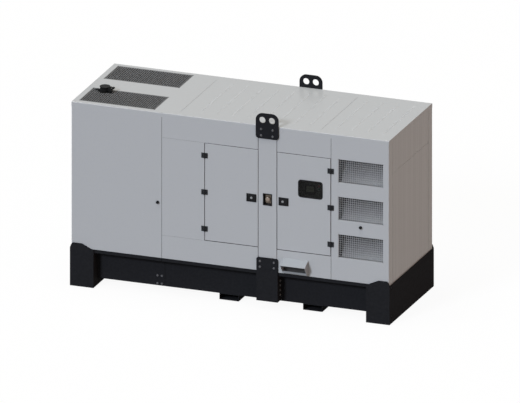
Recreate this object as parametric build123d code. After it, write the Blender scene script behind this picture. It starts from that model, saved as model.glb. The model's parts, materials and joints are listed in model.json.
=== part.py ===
"""Enclosed diesel generator: a steel skid that carries a sound-damped canopy and its machinery.

Millimetres, +Z up.  The origin is on the ground under the middle of the skid, +X points to the
end with the air inlets and -Y to the front, where the control window and the doors are.
"""
import os
from math import atan2, degrees, hypot
from build123d import *

# Skid: two end beams, two recessed side rails and the deck between them
skid_length = 3800
skid_width = 1400
skid_height = 450
heavy_plate = 18          # plates that stand flush with the skid's sides
foot_length = 280         # of each end beam, along X
foot_rise = 55            # the foot plates' rise over the canopy's lower edge
foot_flat = 137           # from the end to the far end of the rise's level top
foot_slope = 116          # run of the slope that ends it
foot_taper = 22           # run of the steep slope down to the canopy's lower corner
foot_corner = 30
rail_recess = 107         # from the canopy's face in to the rail's web
rail_plate = 10
rail_bottom = 83
rail_lip = 40
rail_toe = 70
rail_joint = 4            # width and depth of the joint line in the rail's web
deck_plate = 10

# Fork pockets under the rails, the same way out on both sides of the lifting gear
fork_spacing = 994
fork_width = 230
fork_bottom = 10
fork_wall = 6

# Canopy; a rise is a height over its lower edge
canopy_height = 1713
end_setback = 12          # from the skid's end in to the canopy's end
wall = 50                 # sheet with its sound-damping lining
roof = 50
corner_return = 112       # the side panels' return round the corners
corner_radius = 8
seam_width = 4            # shadow gap between the outer sheets of two panels
seam_depth = 12
roof_edge = 9             # radius along the roof's front and back edges
roof_seam_depth = 1.8
roof_seam_margin = 110    # from the canopy's side in to the roof seams' ends
left_module_length = 1073
inlet_panel_length = 693
roof_left_length = 1258
roof_right_length = 844
end_seam_rise = 1290

# Doors, seam line to seam line
door_left_width = 637
post_width = 222
door_right_width = 641
door_rise = 272
door_height = 1148
door_gap = 6.5            # running gap all round a leaf
door_pan = 30             # depth of the leaf's folded pan
door_pad = 20             # lining on its inside
door_bevel = 2.5
pad_inset = 34
frame_lip = 25            # the inner frame that each leaf closes towards
frame_clearance = 5

# Hinges
hinge_width = 75
hinge_height = 61
hinge_leaf = 5
hinge_offset = 11         # pin axis out from the wall's face
hinge_knuckle_radius = 8
hinge_pin_radius = 4.5
hinge_fit = 0.05
hinge_clearance = 1       # between a leaf and the other half's knuckle
hinge_curl = 3            # depth of the curl that joins a leaf to its knuckle
knuckle_gap = 0.5
hinge_from_sill = 139
hinge_from_head = 146

# Door latches
latch_width = 118
latch_height = 95
latch_bezel = 6
latch_rim = 7
latch_cup_depth = 22
latch_cup_wall = 3
latch_from_sill = 572
latch_from_seam = 80
paddle_side_gap = 6
paddle_plate = 5
paddle_lip = 2.5
paddle_pin_radius = 3
paddle_barrel_radius = 5.5
paddle_pin_drop = 11      # pin axis below the cup's roof
paddle_pin_depth = 1      # pin axis in from the door's face, towards the cup's back
paddle_pin_seat = 1       # the pin's end in the cup's cheek
key_radius = 10

# Control window in the right-hand door
window_from_seam = 252
window_from_head = 289
window_width = 294
window_height = 209
window_corner = 34
window_rim = 12
window_rim_depth = 14
window_glass = 6
window_stand = 3

# Emergency stop in the post
stop_box_width = 109
stop_box_height = 140
stop_from_sill = 573
stop_flange = 3
stop_rim = 6
stop_cup_depth = 42
stop_cup_wall = 4
stop_head_radius = 27
stop_head_length = 12
stop_head_edge = 4
stop_head_setback = 1
stop_stem_radius = 10
stop_collar_radius = 19
stop_collar_length = 12
stop_travel = 6
stop_stem_clearance = 1

# Air inlets, one over the other on each side, with a splitter behind them
inlet_from_end = 67
inlet_width = 540
inlet_height = 280
inlet_rise = 265
inlet_spacing = 442.5
inlet_rows = 3
grille_pitch = 105
grille_bar = 9
grille_plate = 4
grille_setback = 3
splitter = 30
splitter_gap = 100
splitter_length = 625

# Roof outlets
outlet_from_end = 63
outlet_from_side = 67
outlet_length = 903
outlet_width = 455
outlet_pitch = 150
outlet_bar = 8
outlet_plate = 5
outlet_collar = 16        # width of the collar round the stack

# Roof ribs
rib_pitch = 184
rib_width = 34
rib_height = 1.5
rib_slope = 84            # degrees, of its sides from upright
rib_from_side = 182
rib_from_left_seam = 220
rib_from_right_seam = 146

# Silencer and its stack through the front roof outlet
stack_from_end = 223
stack_from_side = 467
stack_radius = 55
stack_wall = 4
stack_height = 51         # over the roof
stack_hole_gap = 8
clamp_out_x = 84          # boss of the stack's clamp, from the stack's axis
clamp_out_y = 49
clamp_rise = 20           # its axis over the roof
clamp_radius = 18
clamp_width = 30
clamp_plate = 16
silencer_from_end = 168
silencer_length = 760
silencer_radius = 150
silencer_drop = 323       # its axis below the roof's top
silencer_offset = 85      # its axis from the stack's, towards the middle
hanger_plate = 12
hanger_width = 110
hanger_inset = 150
pipe_radius = 45          # of the exhaust pipe from the engine
pipe_hole_gap = 8
pipe_turn = 330           # from the block's front to where the pipe turns down

# Rain cap on the stack
cap_radius = 59.5
cap_plate = 5
cap_clearance = 0.3
cap_pin_out = 68          # pin axis out from the stack's axis
cap_pin_drop = 2          # pin axis below the stack's mouth
cap_pin_radius = 4
cap_knuckle_radius = 7
cap_knuckle_width = 20
cap_ear = 6
cap_ear_gap = 0.5
cap_ear_height = 14
cap_ear_reach = 6         # the ear's end beyond the pin's axis
cap_ear_seat = 2          # the ear's foot in the stack's wall
cap_tail = 6
cap_weight_out = 32
cap_weight_drop = 6
cap_weight_radius = 12
cap_weight_width = 30

# Lifting gear on the post between the doors
lift_plate_width = 269
lift_plate_rise = 147     # over the roof
lift_plate_drop = 147     # below the roof
lift_plate_top_radius = 78
lift_plate_bottom_radius = 34
lift_eye_radius = 38
lift_eye_spacing = 113
lift_eye_rise = 69
lift_post_width = 100
lift_post_depth = 60
bracket_width = 253
bracket_bottom = 100
bracket_rise = 159
bracket_radius = 20
bracket_flange = 12

# Cable outlet hood
hood_from_seam = 81
hood_width = 292
hood_rise = 5
hood_height = 179
hood_depth = 115
hood_brow = 56            # drop from its top to its front edge
hood_chin = 15            # height of its chin
hood_chin_depth = 41
hood_sheet = 4
hood_mouth = 94           # slanted height of the mouth
cable_hole_inset = 20
cable_hole_drop = 24
cable_hole_height = 130

# Panel knobs
knob_radius = 17
knob_length = 18
knob_rise = 655
knob_from_seam = 47

# Bearers on the deck
bearer_y = 330
bearer_width = 80
bearer_height = 80
bearer_from_radiator = 160
bearer_length = 1760
machine_foot = 25         # thickness of a machine's feet

# Engine on the bearers
engine_gap = 190          # from the radiator's back to the block
engine_length = 780
engine_width = 440
shaft_rise = 450
block_rise = 190
block_height = 440
head_width = 270
head_height = 190
head_inset = 20
cover_width = 210
cover_height = 80
cover_inset = 40
cover_edge = 25
manifold_inset = 90
manifold_height = 70
manifold_drop = 70        # its top below the head's top
cleaner_radius = 90       # air cleaner beside the rocker cover
cleaner_length = 320
cleaner_y = 150
sump_depth = 140
sump_width = 330
sump_inset = 60
bell_length = 130
bell_radius = 300
engine_foot_length = 110
engine_foot_inset = 80
engine_foot_height = 60   # its upright plate's height on the block
fan_radius = 360
fan_gap = 60
fan_hub_radius = 70
fan_hub_length = 60
fan_shaft_radius = 35
fan_blades = 6
fan_blade_chord = 110
fan_blade_plate = 8
fan_pitch_angle = 35

# Radiator and the wall over it
radiator_from_seam = 15
radiator_depth = 90
radiator_side_gap = 72
radiator_rise = 50
radiator_height = 1200
radiator_frame = 80
radiator_tray = 40
core_inset = 15
bulkhead_plate = 40

# Alternator
alternator_length = 620
alternator_radius = 270
alternator_fin = 10
alternator_fin_height = 20
alternator_fin_seat = 10
alternator_fins = 6
alternator_fin_inset = 80
alternator_bell = 60
alternator_bell_radius = 210
alternator_bell_edge = 30
alternator_foot_length = 300
alternator_foot_inner = 190
alternator_foot_drop = 120
terminal_box_length = 380
terminal_box_width = 360
terminal_box_height = 200
terminal_box_seat = 40

# Control cabinet behind the window
cabinet_length = 640
cabinet_depth = 200
cabinet_setback = 30      # from the wall's lining in to the cabinet's face
cabinet_rise = 700
cabinet_height = 680
cabinet_sheet = 20
panel_plate = 4
panel_inset = 12
screen_width = 150
screen_height = 100
screen_bezel = 3
button_width = 24
button_length = 6
button_pitch = 39
button_from_screen = 52
button_rows = 3

# Places that follow from the sizes above
half_length = skid_length / 2
half_width = skid_width / 2
foot_inner = half_length - foot_length
face = half_width - heavy_plate            # the canopy's outer face in Y
lining = face - wall
web = face - rail_recess
end_face = half_length - end_setback
end_lining = end_face - wall
canopy_bottom = skid_height
canopy_top = canopy_bottom + canopy_height
wall_top = canopy_top - roof
left_module_x = left_module_length - end_face
roof_seam_left = roof_left_length - end_face
roof_seam_right = end_face - roof_right_length
door_right_seam = end_face - inlet_panel_length
door_right_x = door_right_seam - door_right_width
door_left_seam = door_right_x - post_width
door_left_x = door_left_seam - door_left_width
door_bottom = canopy_bottom + door_rise
door_top = door_bottom + door_height
hinge_low = door_bottom + hinge_from_sill
hinge_high = door_top - hinge_from_head
hinge_levels = (hinge_low, (hinge_low + hinge_high) / 2, hinge_high)
pin_y = -face - hinge_offset
latch_z = door_bottom + latch_from_sill
window_x = door_right_x + window_from_seam
window_bottom = door_top - window_from_head - window_height
stop_box_z = door_bottom + stop_from_sill
inlet_x = end_face - inlet_from_end - inlet_width
inlet_bottoms = [canopy_bottom + inlet_rise + row * inlet_spacing for row in range(inlet_rows)]
outlet_x = outlet_from_end - end_face
outlet_inner = face - outlet_from_side - outlet_width
stack_x = stack_from_end - end_face
stack_y = stack_from_side - face
stack_top = canopy_top + stack_height
silencer_x = silencer_from_end - end_face
silencer_y = stack_y + silencer_offset
silencer_z = canopy_top - silencer_drop
lift_x = (door_left_seam + door_right_x) / 2
lift_plate_top = canopy_top + lift_plate_rise
lift_plate_bottom = canopy_top - lift_plate_drop
lift_eye_z = canopy_top + lift_eye_rise
bracket_top = canopy_bottom + bracket_rise
hood_x = door_right_x + hood_from_seam
hood_bottom = canopy_bottom + hood_rise
hood_top = hood_bottom + hood_height
cable_hole_top = hood_top - cable_hole_drop
cable_hole_bottom = cable_hole_top - cable_hole_height
knob_z = canopy_bottom + knob_rise
knob_places = (left_module_x - knob_from_seam, inlet_x + inlet_width / 2)
bearer_top = canopy_bottom + bearer_height
radiator_x = left_module_x + radiator_from_seam
radiator_half_width = lining - radiator_side_gap
radiator_bottom = canopy_bottom + radiator_rise
radiator_top = radiator_bottom + radiator_height
bearer_x = radiator_x + bearer_from_radiator
engine_x = radiator_x + radiator_depth + engine_gap
pipe_x = engine_x + pipe_turn
pipe_y = -head_width / 2 - pipe_radius
engine_end = engine_x + engine_length
shaft_z = canopy_bottom + shaft_rise
block_bottom = canopy_bottom + block_rise
block_top = block_bottom + block_height
head_top = block_top + head_height
alternator_x = engine_end + bell_length
cabinet_x = lift_x + lift_post_width / 2
cabinet_bottom = canopy_bottom + cabinet_rise
cabinet_top = cabinet_bottom + cabinet_height


def block(x0, x1, y0, y1, z0, z1):
    """A box between two corners."""
    middle = Pos((x0 + x1) / 2, (y0 + y1) / 2, (z0 + z1) / 2)
    return middle * Box(x1 - x0, y1 - y0, z1 - z0)


def bar_x(radius, x0, x1, y, z):
    """A round bar along X."""
    return Pos((x0 + x1) / 2, y, z) * Rot(0, 90, 0) * Cylinder(radius, x1 - x0)


def bar_y(radius, x, y0, y1, z):
    """A round bar along Y."""
    return Pos(x, (y0 + y1) / 2, z) * Rot(90, 0, 0) * Cylinder(radius, y1 - y0)


def bar_z(radius, x, y, z0, z1):
    """A round bar along Z."""
    return Pos(x, y, (z0 + z1) / 2) * Cylinder(radius, z1 - z0)


def both_sides(shape):
    """The shape on the front and its mirror image on the back."""
    return [shape, mirror(shape, about=Plane.XZ)]


def save(node, *solids):
    """Write one node's solids to its own file."""
    shape = solids[0] if len(solids) == 1 else Compound(children=list(solids))
    export_step(shape, f"parts/{node}.step")


def upright_plate(outline, y0, y1):
    """A face drawn in X and Z, extruded from y0 to y1."""
    placed = Plane(origin=(0, y1, 0), x_dir=(1, 0, 0), z_dir=(0, -1, 0)) * outline
    return extrude(placed, amount=y1 - y0)


# Skid

def foot_outline():
    """One foot plate at the +X end: a rise with a rounded shoulder and a slope to each side."""
    top = canopy_bottom + foot_rise
    flat_end = half_length - foot_flat
    slope_end = flat_end - foot_slope
    corners = [(foot_inner, 0), (half_length, 0), (half_length, canopy_bottom),
               (half_length - foot_taper, top), (flat_end, top), (slope_end, canopy_bottom),
               (foot_inner, canopy_bottom)]
    outline = make_face(Polyline(*corners, close=True))
    shoulder = outline.vertices().sort_by(Axis.Y)[-2:].sort_by(Axis.X)[-1]
    return fillet(shoulder, foot_corner)


def foot():
    """A closed cross beam with a heavy plate over each end."""
    beam = block(foot_inner, half_length, -face, face, 0, skid_height)
    plate = upright_plate(foot_outline(), -half_width, -face)
    return beam + plate + mirror(plate, about=Plane.XZ)


def rail():
    """Front side rail: a lip and flange under the canopy's edge, a recessed web and a toe."""
    x0, x1 = -foot_inner, foot_inner
    inner = -web + rail_plate
    lip = block(x0, x1, -face, -face + rail_plate, skid_height - rail_lip, skid_height)
    flange = block(x0, x1, -face, inner, skid_height - rail_plate, skid_height)
    plate = block(x0, x1, -web, inner, rail_bottom, skid_height)
    toe = block(x0, x1, -web, -web + rail_toe, rail_bottom, rail_bottom + rail_plate)
    joint = block(left_module_x - rail_joint / 2, left_module_x + rail_joint / 2,
                  -half_width, -web + rail_joint, 0, skid_height - rail_plate)
    return lip + flange + plate + toe - joint


def fork_pocket(x):
    """One tube across the skid, open at both ends."""
    half = fork_width / 2
    tube = block(x - half, x + half, -web, web, fork_bottom, rail_bottom)
    return tube - block(x - half + fork_wall, x + half - fork_wall, -half_width, half_width,
                        fork_bottom + fork_wall, rail_bottom - fork_wall)


def deck():
    """The canopy's floor between the rails."""
    inner = web - rail_plate
    return block(-foot_inner, foot_inner, -inner, inner, skid_height - deck_plate, skid_height)


# Lifting gear

def bracket():
    """Lower lifting bracket: a face plate with rounded top corners and a flange down each side."""
    half = bracket_width / 2
    outline = Pos(lift_x, (bracket_bottom + bracket_top) / 2) * Rectangle(
        bracket_width, bracket_top - bracket_bottom)
    outline = fillet(outline.vertices().sort_by(Axis.Y)[-2:], bracket_radius)
    plate = upright_plate(outline, -half_width, -face)
    flanges = [block(x, x + bracket_flange, -face, -web, bracket_bottom, skid_height - rail_lip)
               for x in (lift_x - half, lift_x + half - bracket_flange)]
    return plate + flanges[0] + flanges[1]


def lifting_plate():
    """Upper plate with two eyes, bolted over the wall."""
    height = lift_plate_top - lift_plate_bottom
    outline = Pos(lift_x, lift_plate_bottom + height / 2) * Rectangle(lift_plate_width, height)
    outline = fillet(outline.vertices().sort_by(Axis.Y)[-2:], lift_plate_top_radius)
    outline = fillet(outline.vertices().sort_by(Axis.Y)[:2], lift_plate_bottom_radius)
    for side in (-1, 1):
        outline -= Pos(lift_x + side * lift_eye_spacing / 2, lift_eye_z) * Circle(lift_eye_radius)
    return upright_plate(outline, -half_width, -face)


def lifting_post():
    """Box-section post behind the wall's post, from the deck to the roof."""
    half = lift_post_width / 2
    return block(lift_x - half, lift_x + half, -lining, -lining + lift_post_depth,
                 canopy_bottom, wall_top)


def lifting_beam():
    """Cross beam between the two posts, under the roof."""
    half = lift_post_width / 2
    reach = lining - lift_post_depth
    return block(lift_x - half, lift_x + half, -reach, reach, wall_top - lift_post_width, wall_top)


# Canopy walls

def front_slab(x0, x1, z0, z1, left=0, right=0, low=0, high=0):
    """A front wall panel; its outer sheet stops short of its neighbours by the seams given."""
    core = block(x0, x1, -face + seam_depth, -lining, z0, z1)
    return core + block(x0 + left, x1 - right, -face, -face + seam_depth, z0 + low, z1 - high)


def corner_panel(x_seam, side):
    """A front panel that runs to the canopy's corner and returns round it."""
    outer = side * end_face
    inner = side * end_lining
    slab = block(min(x_seam, outer), max(x_seam, outer), -face, -lining, canopy_bottom, wall_top)
    slab += block(min(inner, outer), max(inner, outer), -lining, -face + corner_return,
                  canopy_bottom, wall_top)
    uprights = slab.edges().filter_by(Axis.Z)
    corner = uprights.sort_by(lambda edge: side * edge.center().X - edge.center().Y)[-1]
    slab = fillet(corner, corner_radius)
    return slab - block(x_seam - seam_width / 2, x_seam + seam_width / 2, -half_width,
                        -face + seam_depth, canopy_bottom, wall_top)


def inlet_wall():
    """Front corner panel with the three inlet openings."""
    slab = corner_panel(door_right_seam + door_gap / 2, 1)
    for z in inlet_bottoms:
        slab -= block(inlet_x, inlet_x + inlet_width, -half_width, 0, z, z + inlet_height)
    return slab


def sill(x0, x1, left, right):
    """Panel under a door."""
    return front_slab(x0, x1, canopy_bottom, door_bottom - door_gap / 2, left, right)


def cable_hole():
    """The hole behind the cable hood."""
    return block(hood_x + cable_hole_inset, hood_x + hood_width - cable_hole_inset,
                 -half_width, 0, cable_hole_bottom, cable_hole_top)


def header(x0, x1, left, right):
    """Panel over a door."""
    return front_slab(x0, x1, door_top + door_gap / 2, wall_top, left, right)


def post():
    """Full-height panel between the doors, with the pocket for the emergency stop."""
    slab = front_slab(door_left_seam + door_gap / 2, door_right_x - door_gap / 2,
                      canopy_bottom, wall_top)
    half_w = stop_box_width / 2 - stop_rim
    half_h = stop_box_height / 2 - stop_rim
    return slab - block(lift_x - half_w, lift_x + half_w, -half_width, -face + stop_cup_depth,
                        stop_box_z - half_h, stop_box_z + half_h)


def back_door_places():
    """Seam-to-seam X ranges of the two back doors, opposite the front ones."""
    return ((door_left_x, door_left_seam), (door_right_x, door_right_seam))


def back_wall():
    """The back from the left corner to the inlet panel, with a shallow pocket for each door."""
    right = door_right_seam + door_gap / 2
    low = door_bottom - door_gap / 2
    high = door_top + door_gap / 2
    slab = mirror(corner_panel(left_module_x, -1), about=Plane.XZ)
    slab += block(left_module_x, right, lining, face, canopy_bottom, wall_top)
    for x0, x1 in back_door_places():
        slab -= block(x0 - door_gap / 2, x1 + door_gap / 2, face - door_pan, half_width,
                      low, high)
    half = seam_width / 2
    seams = [(left_module_x, left_module_x + half, canopy_bottom, wall_top),
             (right - half, right, canopy_bottom, wall_top),
             (left_module_x, door_left_x, low, low + half),
             (left_module_x, door_left_x, high - half, high)]
    for x in (door_left_seam, door_right_x):
        seams.append((x - door_gap / 2, x + door_gap / 2, canopy_bottom, wall_top))
    for x0, x1, z0, z1 in seams:
        slab -= block(x0, x1, face - seam_depth, half_width, z0, z1)
    return slab - mirror(cable_hole(), about=Plane.XZ)


def back_doors():
    """Closed leaves on the back, a panel gap clear of the wall all round."""
    leaves = []
    for x0, x1 in back_door_places():
        leaf = block(x0 + door_gap / 2, x1 - door_gap / 2, face - door_pan, face,
                     door_bottom + door_gap / 2, door_top - door_gap / 2)
        leaves.append(leaf)
    return leaves


def back_hinge(x, z):
    """A closed hinge on a back door, in plain form."""
    half = hinge_height / 2
    hinge = block(x - hinge_width / 2, x + hinge_width / 2, face, face + hinge_leaf,
                  z - half, z + half)
    return hinge + block(x - hinge_knuckle_radius, x + hinge_knuckle_radius, face,
                         face + hinge_offset + hinge_knuckle_radius, z - half, z + half)


def back_latch(x):
    """A closed latch on a back door: a bezel round its paddle."""
    half_w = latch_width / 2
    half_h = latch_height / 2
    inset = latch_rim + latch_cup_wall
    bezel = block(x - half_w, x + half_w, face, face + latch_bezel,
                  latch_z - half_h, latch_z + half_h)
    bezel -= block(x - half_w + inset, x + half_w - inset, face + latch_bezel / 3, half_width,
                   latch_z - half_h + inset, latch_z + half_h - inset)
    inset += paddle_side_gap
    return bezel + block(x - half_w + inset, x + half_w - inset, face, face + latch_bezel,
                         latch_z - half_h + inset, paddle_z())


def end_wall(side):
    """End panel between the corner returns, with one level seam."""
    reach = face - corner_return
    seam_z = canopy_bottom + end_seam_rise
    x0, x1, x2 = side * end_lining, side * (end_face - seam_depth), side * end_face
    slab = block(min(x0, x1), max(x0, x1), -reach, reach, canopy_bottom, wall_top)
    reach -= seam_width
    for low, high in ((canopy_bottom, seam_z - seam_width / 4),
                      (seam_z + seam_width / 4, wall_top)):
        slab += block(min(x1, x2), max(x1, x2), -reach, reach, low, high)
    return slab


# Roof

def roof_slab(x0, x1):
    """One roof section: rounded front and back edges, and its half of each roof seam."""
    slab = block(x0, x1, -face, face, wall_top, canopy_top)
    slab = fillet(slab.edges().filter_by(Axis.X).group_by(Axis.Z)[-1], roof_edge)
    reach = face - roof_seam_margin
    for x in (roof_seam_left, roof_seam_right):
        slab -= block(x - seam_width / 2, x + seam_width / 2, -reach, reach,
                      canopy_top - roof_seam_depth, canopy_top)
    return slab


def rib(x):
    """One pressed rib across the roof, with sloping sides and ends."""
    outline = Pos(x, 0) * Rectangle(rib_width, 2 * (face - rib_from_side))
    return extrude(Plane.XY.offset(canopy_top) * outline, amount=rib_height, taper=rib_slope)


def ribbed_roof(x0, x1, margin):
    """A roof section with as many evenly spaced ribs as fit, the first a margin from x0."""
    slab = roof_slab(x0, x1)
    room = x1 - rib_width - x0 - margin
    for number in range(int(room // rib_pitch) + 1):
        slab += rib(x0 + margin + number * rib_pitch)
    return slab


def outlet_roof():
    """The left roof section with its two outlet openings."""
    slab = roof_slab(-end_face, roof_seam_left)
    for y0 in (-outlet_inner - outlet_width, outlet_inner):
        slab -= block(outlet_x, outlet_x + outlet_length, y0, y0 + outlet_width,
                      wall_top - 1, canopy_top + 1)
    return slab


def lattice(width, height, pitch, bar):
    """A flat sheet of square openings inside a plain rim, centred on the origin."""
    columns = int((width - bar) // pitch)
    rows = int((height - bar) // pitch)
    step_x = (width - bar) / columns
    step_y = (height - bar) / rows
    return Rectangle(width, height) - GridLocations(step_x, step_y, columns, rows) * Rectangle(
        step_x - bar, step_y - bar)


def inlet_grille(z):
    """One inlet grille in its opening on the front."""
    sheet = Pos(inlet_x + inlet_width / 2, z + inlet_height / 2) * lattice(
        inlet_width, inlet_height, grille_pitch, grille_bar)
    y0 = -face + grille_setback
    return upright_plate(sheet, y0, y0 + grille_plate)


def roof_grille(side):
    """One outlet grille; the front one is cut round the stack."""
    y = side * (outlet_inner + outlet_width / 2)
    sheet = Pos(outlet_x + outlet_length / 2, y) * lattice(
        outlet_length, outlet_width, outlet_pitch, outlet_bar)
    plate = extrude(Plane.XY.offset(canopy_top - outlet_plate) * sheet, amount=outlet_plate)
    if side < 0:
        hole = stack_radius + stack_hole_gap
        plate -= bar_z(hole, stack_x, stack_y, wall_top, canopy_top + 1)
        collar = bar_z(hole + outlet_collar, stack_x, stack_y, canopy_top - outlet_plate, canopy_top)
        collar -= bar_z(hole, stack_x, stack_y, wall_top, canopy_top + 1)
        edge = block(outlet_x, outlet_x + outlet_length, y - outlet_width / 2,
                     y + outlet_width / 2, wall_top, canopy_top)
        plate += collar & edge
    return plate


# Doors

def door_frame(x0, x1):
    """The inner frame round a doorway, behind the leaf's edge."""
    low = door_bottom - door_gap / 2
    high = door_top + door_gap / 2
    left = x0 - door_gap / 2
    right = x1 + door_gap / 2
    y0 = -face + door_pan + frame_clearance
    ring = block(left, right, y0, -lining, low, high)
    return ring - block(left + frame_lip, right - frame_lip, y0 - 1, -lining + 1,
                        low + frame_lip, high - frame_lip)


def latch_block(x, grow):
    """The block that a latch cup fills in its door, less grow on every side."""
    half_w = latch_width / 2 - latch_rim - grow
    half_h = latch_height / 2 - latch_rim - grow
    return block(x - half_w, x + half_w, -half_width, -face + latch_cup_depth - grow,
                 latch_z - half_h, latch_z + half_h)


def door(x0, x1, latch_x):
    """A leaf: folded pan with a lining pad inside, and the pocket for its latch."""
    left = x0 + door_gap / 2
    right = x1 - door_gap / 2
    low = door_bottom + door_gap / 2
    high = door_top - door_gap / 2
    pan = block(left, right, -face, -face + door_pan, low, high)
    pan = chamfer(pan.edges().filter_by_position(Axis.Y, -face - 0.01, -face + 0.01), door_bevel)
    pad = block(left + pad_inset, right - pad_inset, -face + door_pan,
                -face + door_pan + door_pad, low + pad_inset, high - pad_inset)
    return pan + pad - latch_block(latch_x, 0)


def window_outline(shrink):
    """The control window's outline, less shrink on every side."""
    middle = Pos(window_x + window_width / 2, window_bottom + window_height / 2)
    return middle * RectangleRounded(window_width - 2 * shrink, window_height - 2 * shrink,
                                     window_corner - shrink)


def window():
    """The pane with the rubber rim that holds it in the door."""
    rim = upright_plate(window_outline(0) - window_outline(window_rim),
                        -face - window_stand, -face - window_stand + window_rim_depth)
    pane = upright_plate(window_outline(window_rim), -face, -face + window_glass)
    return rim + pane


def hinge_fixed(x, side, z):
    """Wall half of a hinge: leaf, outer knuckles and pin.  The wall is towards side."""
    half = hinge_height / 2
    third = hinge_height / 6 + knuckle_gap
    x0, x1 = sorted((x + side * hinge_width / 2, x + side * door_gap / 2))
    piece = block(x0, x1, -face - hinge_leaf, -face, z - half, z + half)
    piece += hinge_curl_block(x, side, z - half, z + half)
    clear = hinge_knuckle_radius + hinge_clearance
    x0, x1 = sorted((x - side * clear, x + side * clear))
    piece -= block(x0, x1, pin_y - clear, pin_y + clear, z - third, z + third)
    for low, high in ((z - half, z - third), (z + third, z + half)):
        piece += bar_z(hinge_knuckle_radius, x, pin_y, low, high)
    return piece + bar_z(hinge_pin_radius, x, pin_y, z - half, z + half)


def hinge_moving(x, side, z):
    """Door half of a hinge: leaf and middle knuckle.  The door is away from side."""
    half = hinge_height / 2
    third = hinge_height / 6
    x0, x1 = sorted((x - side * hinge_width / 2, x - side * door_gap / 2))
    piece = block(x0, x1, -face - hinge_leaf, -face, z - half, z + half)
    clear = hinge_knuckle_radius + hinge_clearance
    x0, x1 = sorted((x - side * clear, x + side * clear))
    for low, high in ((z - half, z - third), (z + third, z + half)):
        piece -= block(x0, x1, pin_y - clear, pin_y + clear, low, high)
    piece += hinge_curl_block(x, -side, z - third, z + third)
    piece += bar_z(hinge_knuckle_radius, x, pin_y, z - third, z + third)
    return piece - bar_z(hinge_pin_radius + hinge_fit, x, pin_y, z - half, z + half)


def hinge_curl_block(x, side, low, high):
    """The curl that joins a leaf to its knuckle, towards side."""
    x0, x1 = sorted((x, x + side * (hinge_knuckle_radius + hinge_clearance)))
    y0 = -face - hinge_leaf
    return block(x0, x1, y0 - hinge_curl, y0, low, high)


def latch(x):
    """Latch body: bezel on the leaf, cup let into it, and the paddle's pin."""
    half_w = latch_width / 2
    half_h = latch_height / 2
    bezel = block(x - half_w, x + half_w, -face - latch_bezel, -face,
                  latch_z - half_h, latch_z + half_h)
    bezel = chamfer(bezel.edges().group_by(Axis.Y)[0], latch_bezel / 3)
    cup = latch_block(x, 0) & block(x - half_w, x + half_w, -face, 0, 0, canopy_top)
    body = bezel + cup - latch_block(x, latch_cup_wall)
    return body + paddle_rod(x, paddle_pin_radius, latch_rim + latch_cup_wall - paddle_pin_seat)


def paddle_rod(x, radius, inset):
    """A rod on the paddle's axis, inset from the bezel's ends."""
    half = latch_width / 2 - inset
    return bar_x(radius, x - half, x + half, -face + paddle_pin_depth, paddle_z())


def paddle_z():
    """Height of the paddle's pin."""
    return latch_z + latch_height / 2 - latch_rim - latch_cup_wall - paddle_pin_drop


def paddle(x):
    """The pull paddle: barrel on the pin, plate below it with a finger lip and a key barrel."""
    inset = latch_rim + latch_cup_wall + paddle_side_gap
    half = latch_width / 2 - inset
    cup_bottom = latch_z - latch_height / 2 + latch_rim + latch_cup_wall
    low = cup_bottom + paddle_side_gap
    back = -face + paddle_pin_depth - paddle_barrel_radius
    front = back - paddle_lip
    plate = block(x - half, x + half, back, back + paddle_plate, low, paddle_z())
    lip = block(x - half, x + half, front, back, low, low + 2 * paddle_plate)
    key = bar_y(key_radius, x, front, back, (low + paddle_z()) / 2)
    body = plate + lip + key + paddle_rod(x, paddle_barrel_radius, inset)
    return body - paddle_rod(x, paddle_pin_radius + hinge_fit, 0)


# Emergency stop

def stop_housing():
    """Cup let into the post, with a flange round its mouth and a collar for the button's stem."""
    half_w = stop_box_width / 2
    half_h = stop_box_height / 2
    back = -face + stop_cup_depth
    flange = block(lift_x - half_w, lift_x + half_w, -face - stop_flange, -face,
                   stop_box_z - half_h, stop_box_z + half_h)
    cup = block(lift_x - half_w + stop_rim, lift_x + half_w - stop_rim, -face, back,
                stop_box_z - half_h + stop_rim, stop_box_z + half_h - stop_rim)
    inset = stop_rim + stop_cup_wall
    body = flange + cup - block(lift_x - half_w + inset, lift_x + half_w - inset, -half_width,
                                back - stop_cup_wall, stop_box_z - half_h + inset,
                                stop_box_z + half_h - inset)
    floor = back - stop_cup_wall
    body += bar_y(stop_collar_radius, lift_x, floor - stop_collar_length, floor, stop_box_z)
    return body - bar_y(stop_stem_radius + hinge_fit, lift_x, floor - stop_collar_length - 1,
                        floor, stop_box_z)


def stop_button():
    """Mushroom head on its stem."""
    front = -face + stop_head_setback
    floor = -face + stop_cup_depth - stop_cup_wall
    stem_end = floor - stop_travel - stop_stem_clearance
    head = bar_y(stop_head_radius, lift_x, front, front + stop_head_length, stop_box_z)
    head = chamfer(head.edges().sort_by(Axis.Y)[0], stop_head_edge)
    return head + bar_y(stop_stem_radius, lift_x, front + stop_head_length, stem_end, stop_box_z)


# Cable hood and knobs

def hood_profile(shrink):
    """The hood's cheek, as X = distance out from the wall and Y = height."""
    corners = [(0, hood_bottom), (hood_chin_depth, hood_bottom + hood_chin),
               (hood_depth, hood_top - hood_brow), (0, hood_top)]
    outline = make_face(Polyline(*corners, close=True))
    if shrink:
        outline = offset(outline, -shrink)
    return outline


def hood_prism(outline, x0, x1):
    """An outline of the hood's cheek, extruded from x0 to x1."""
    placed = Plane(origin=(x0, -face, 0), x_dir=(0, -1, 0), z_dir=(-1, 0, 0)) * outline
    return extrude(placed, amount=x0 - x1)


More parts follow.
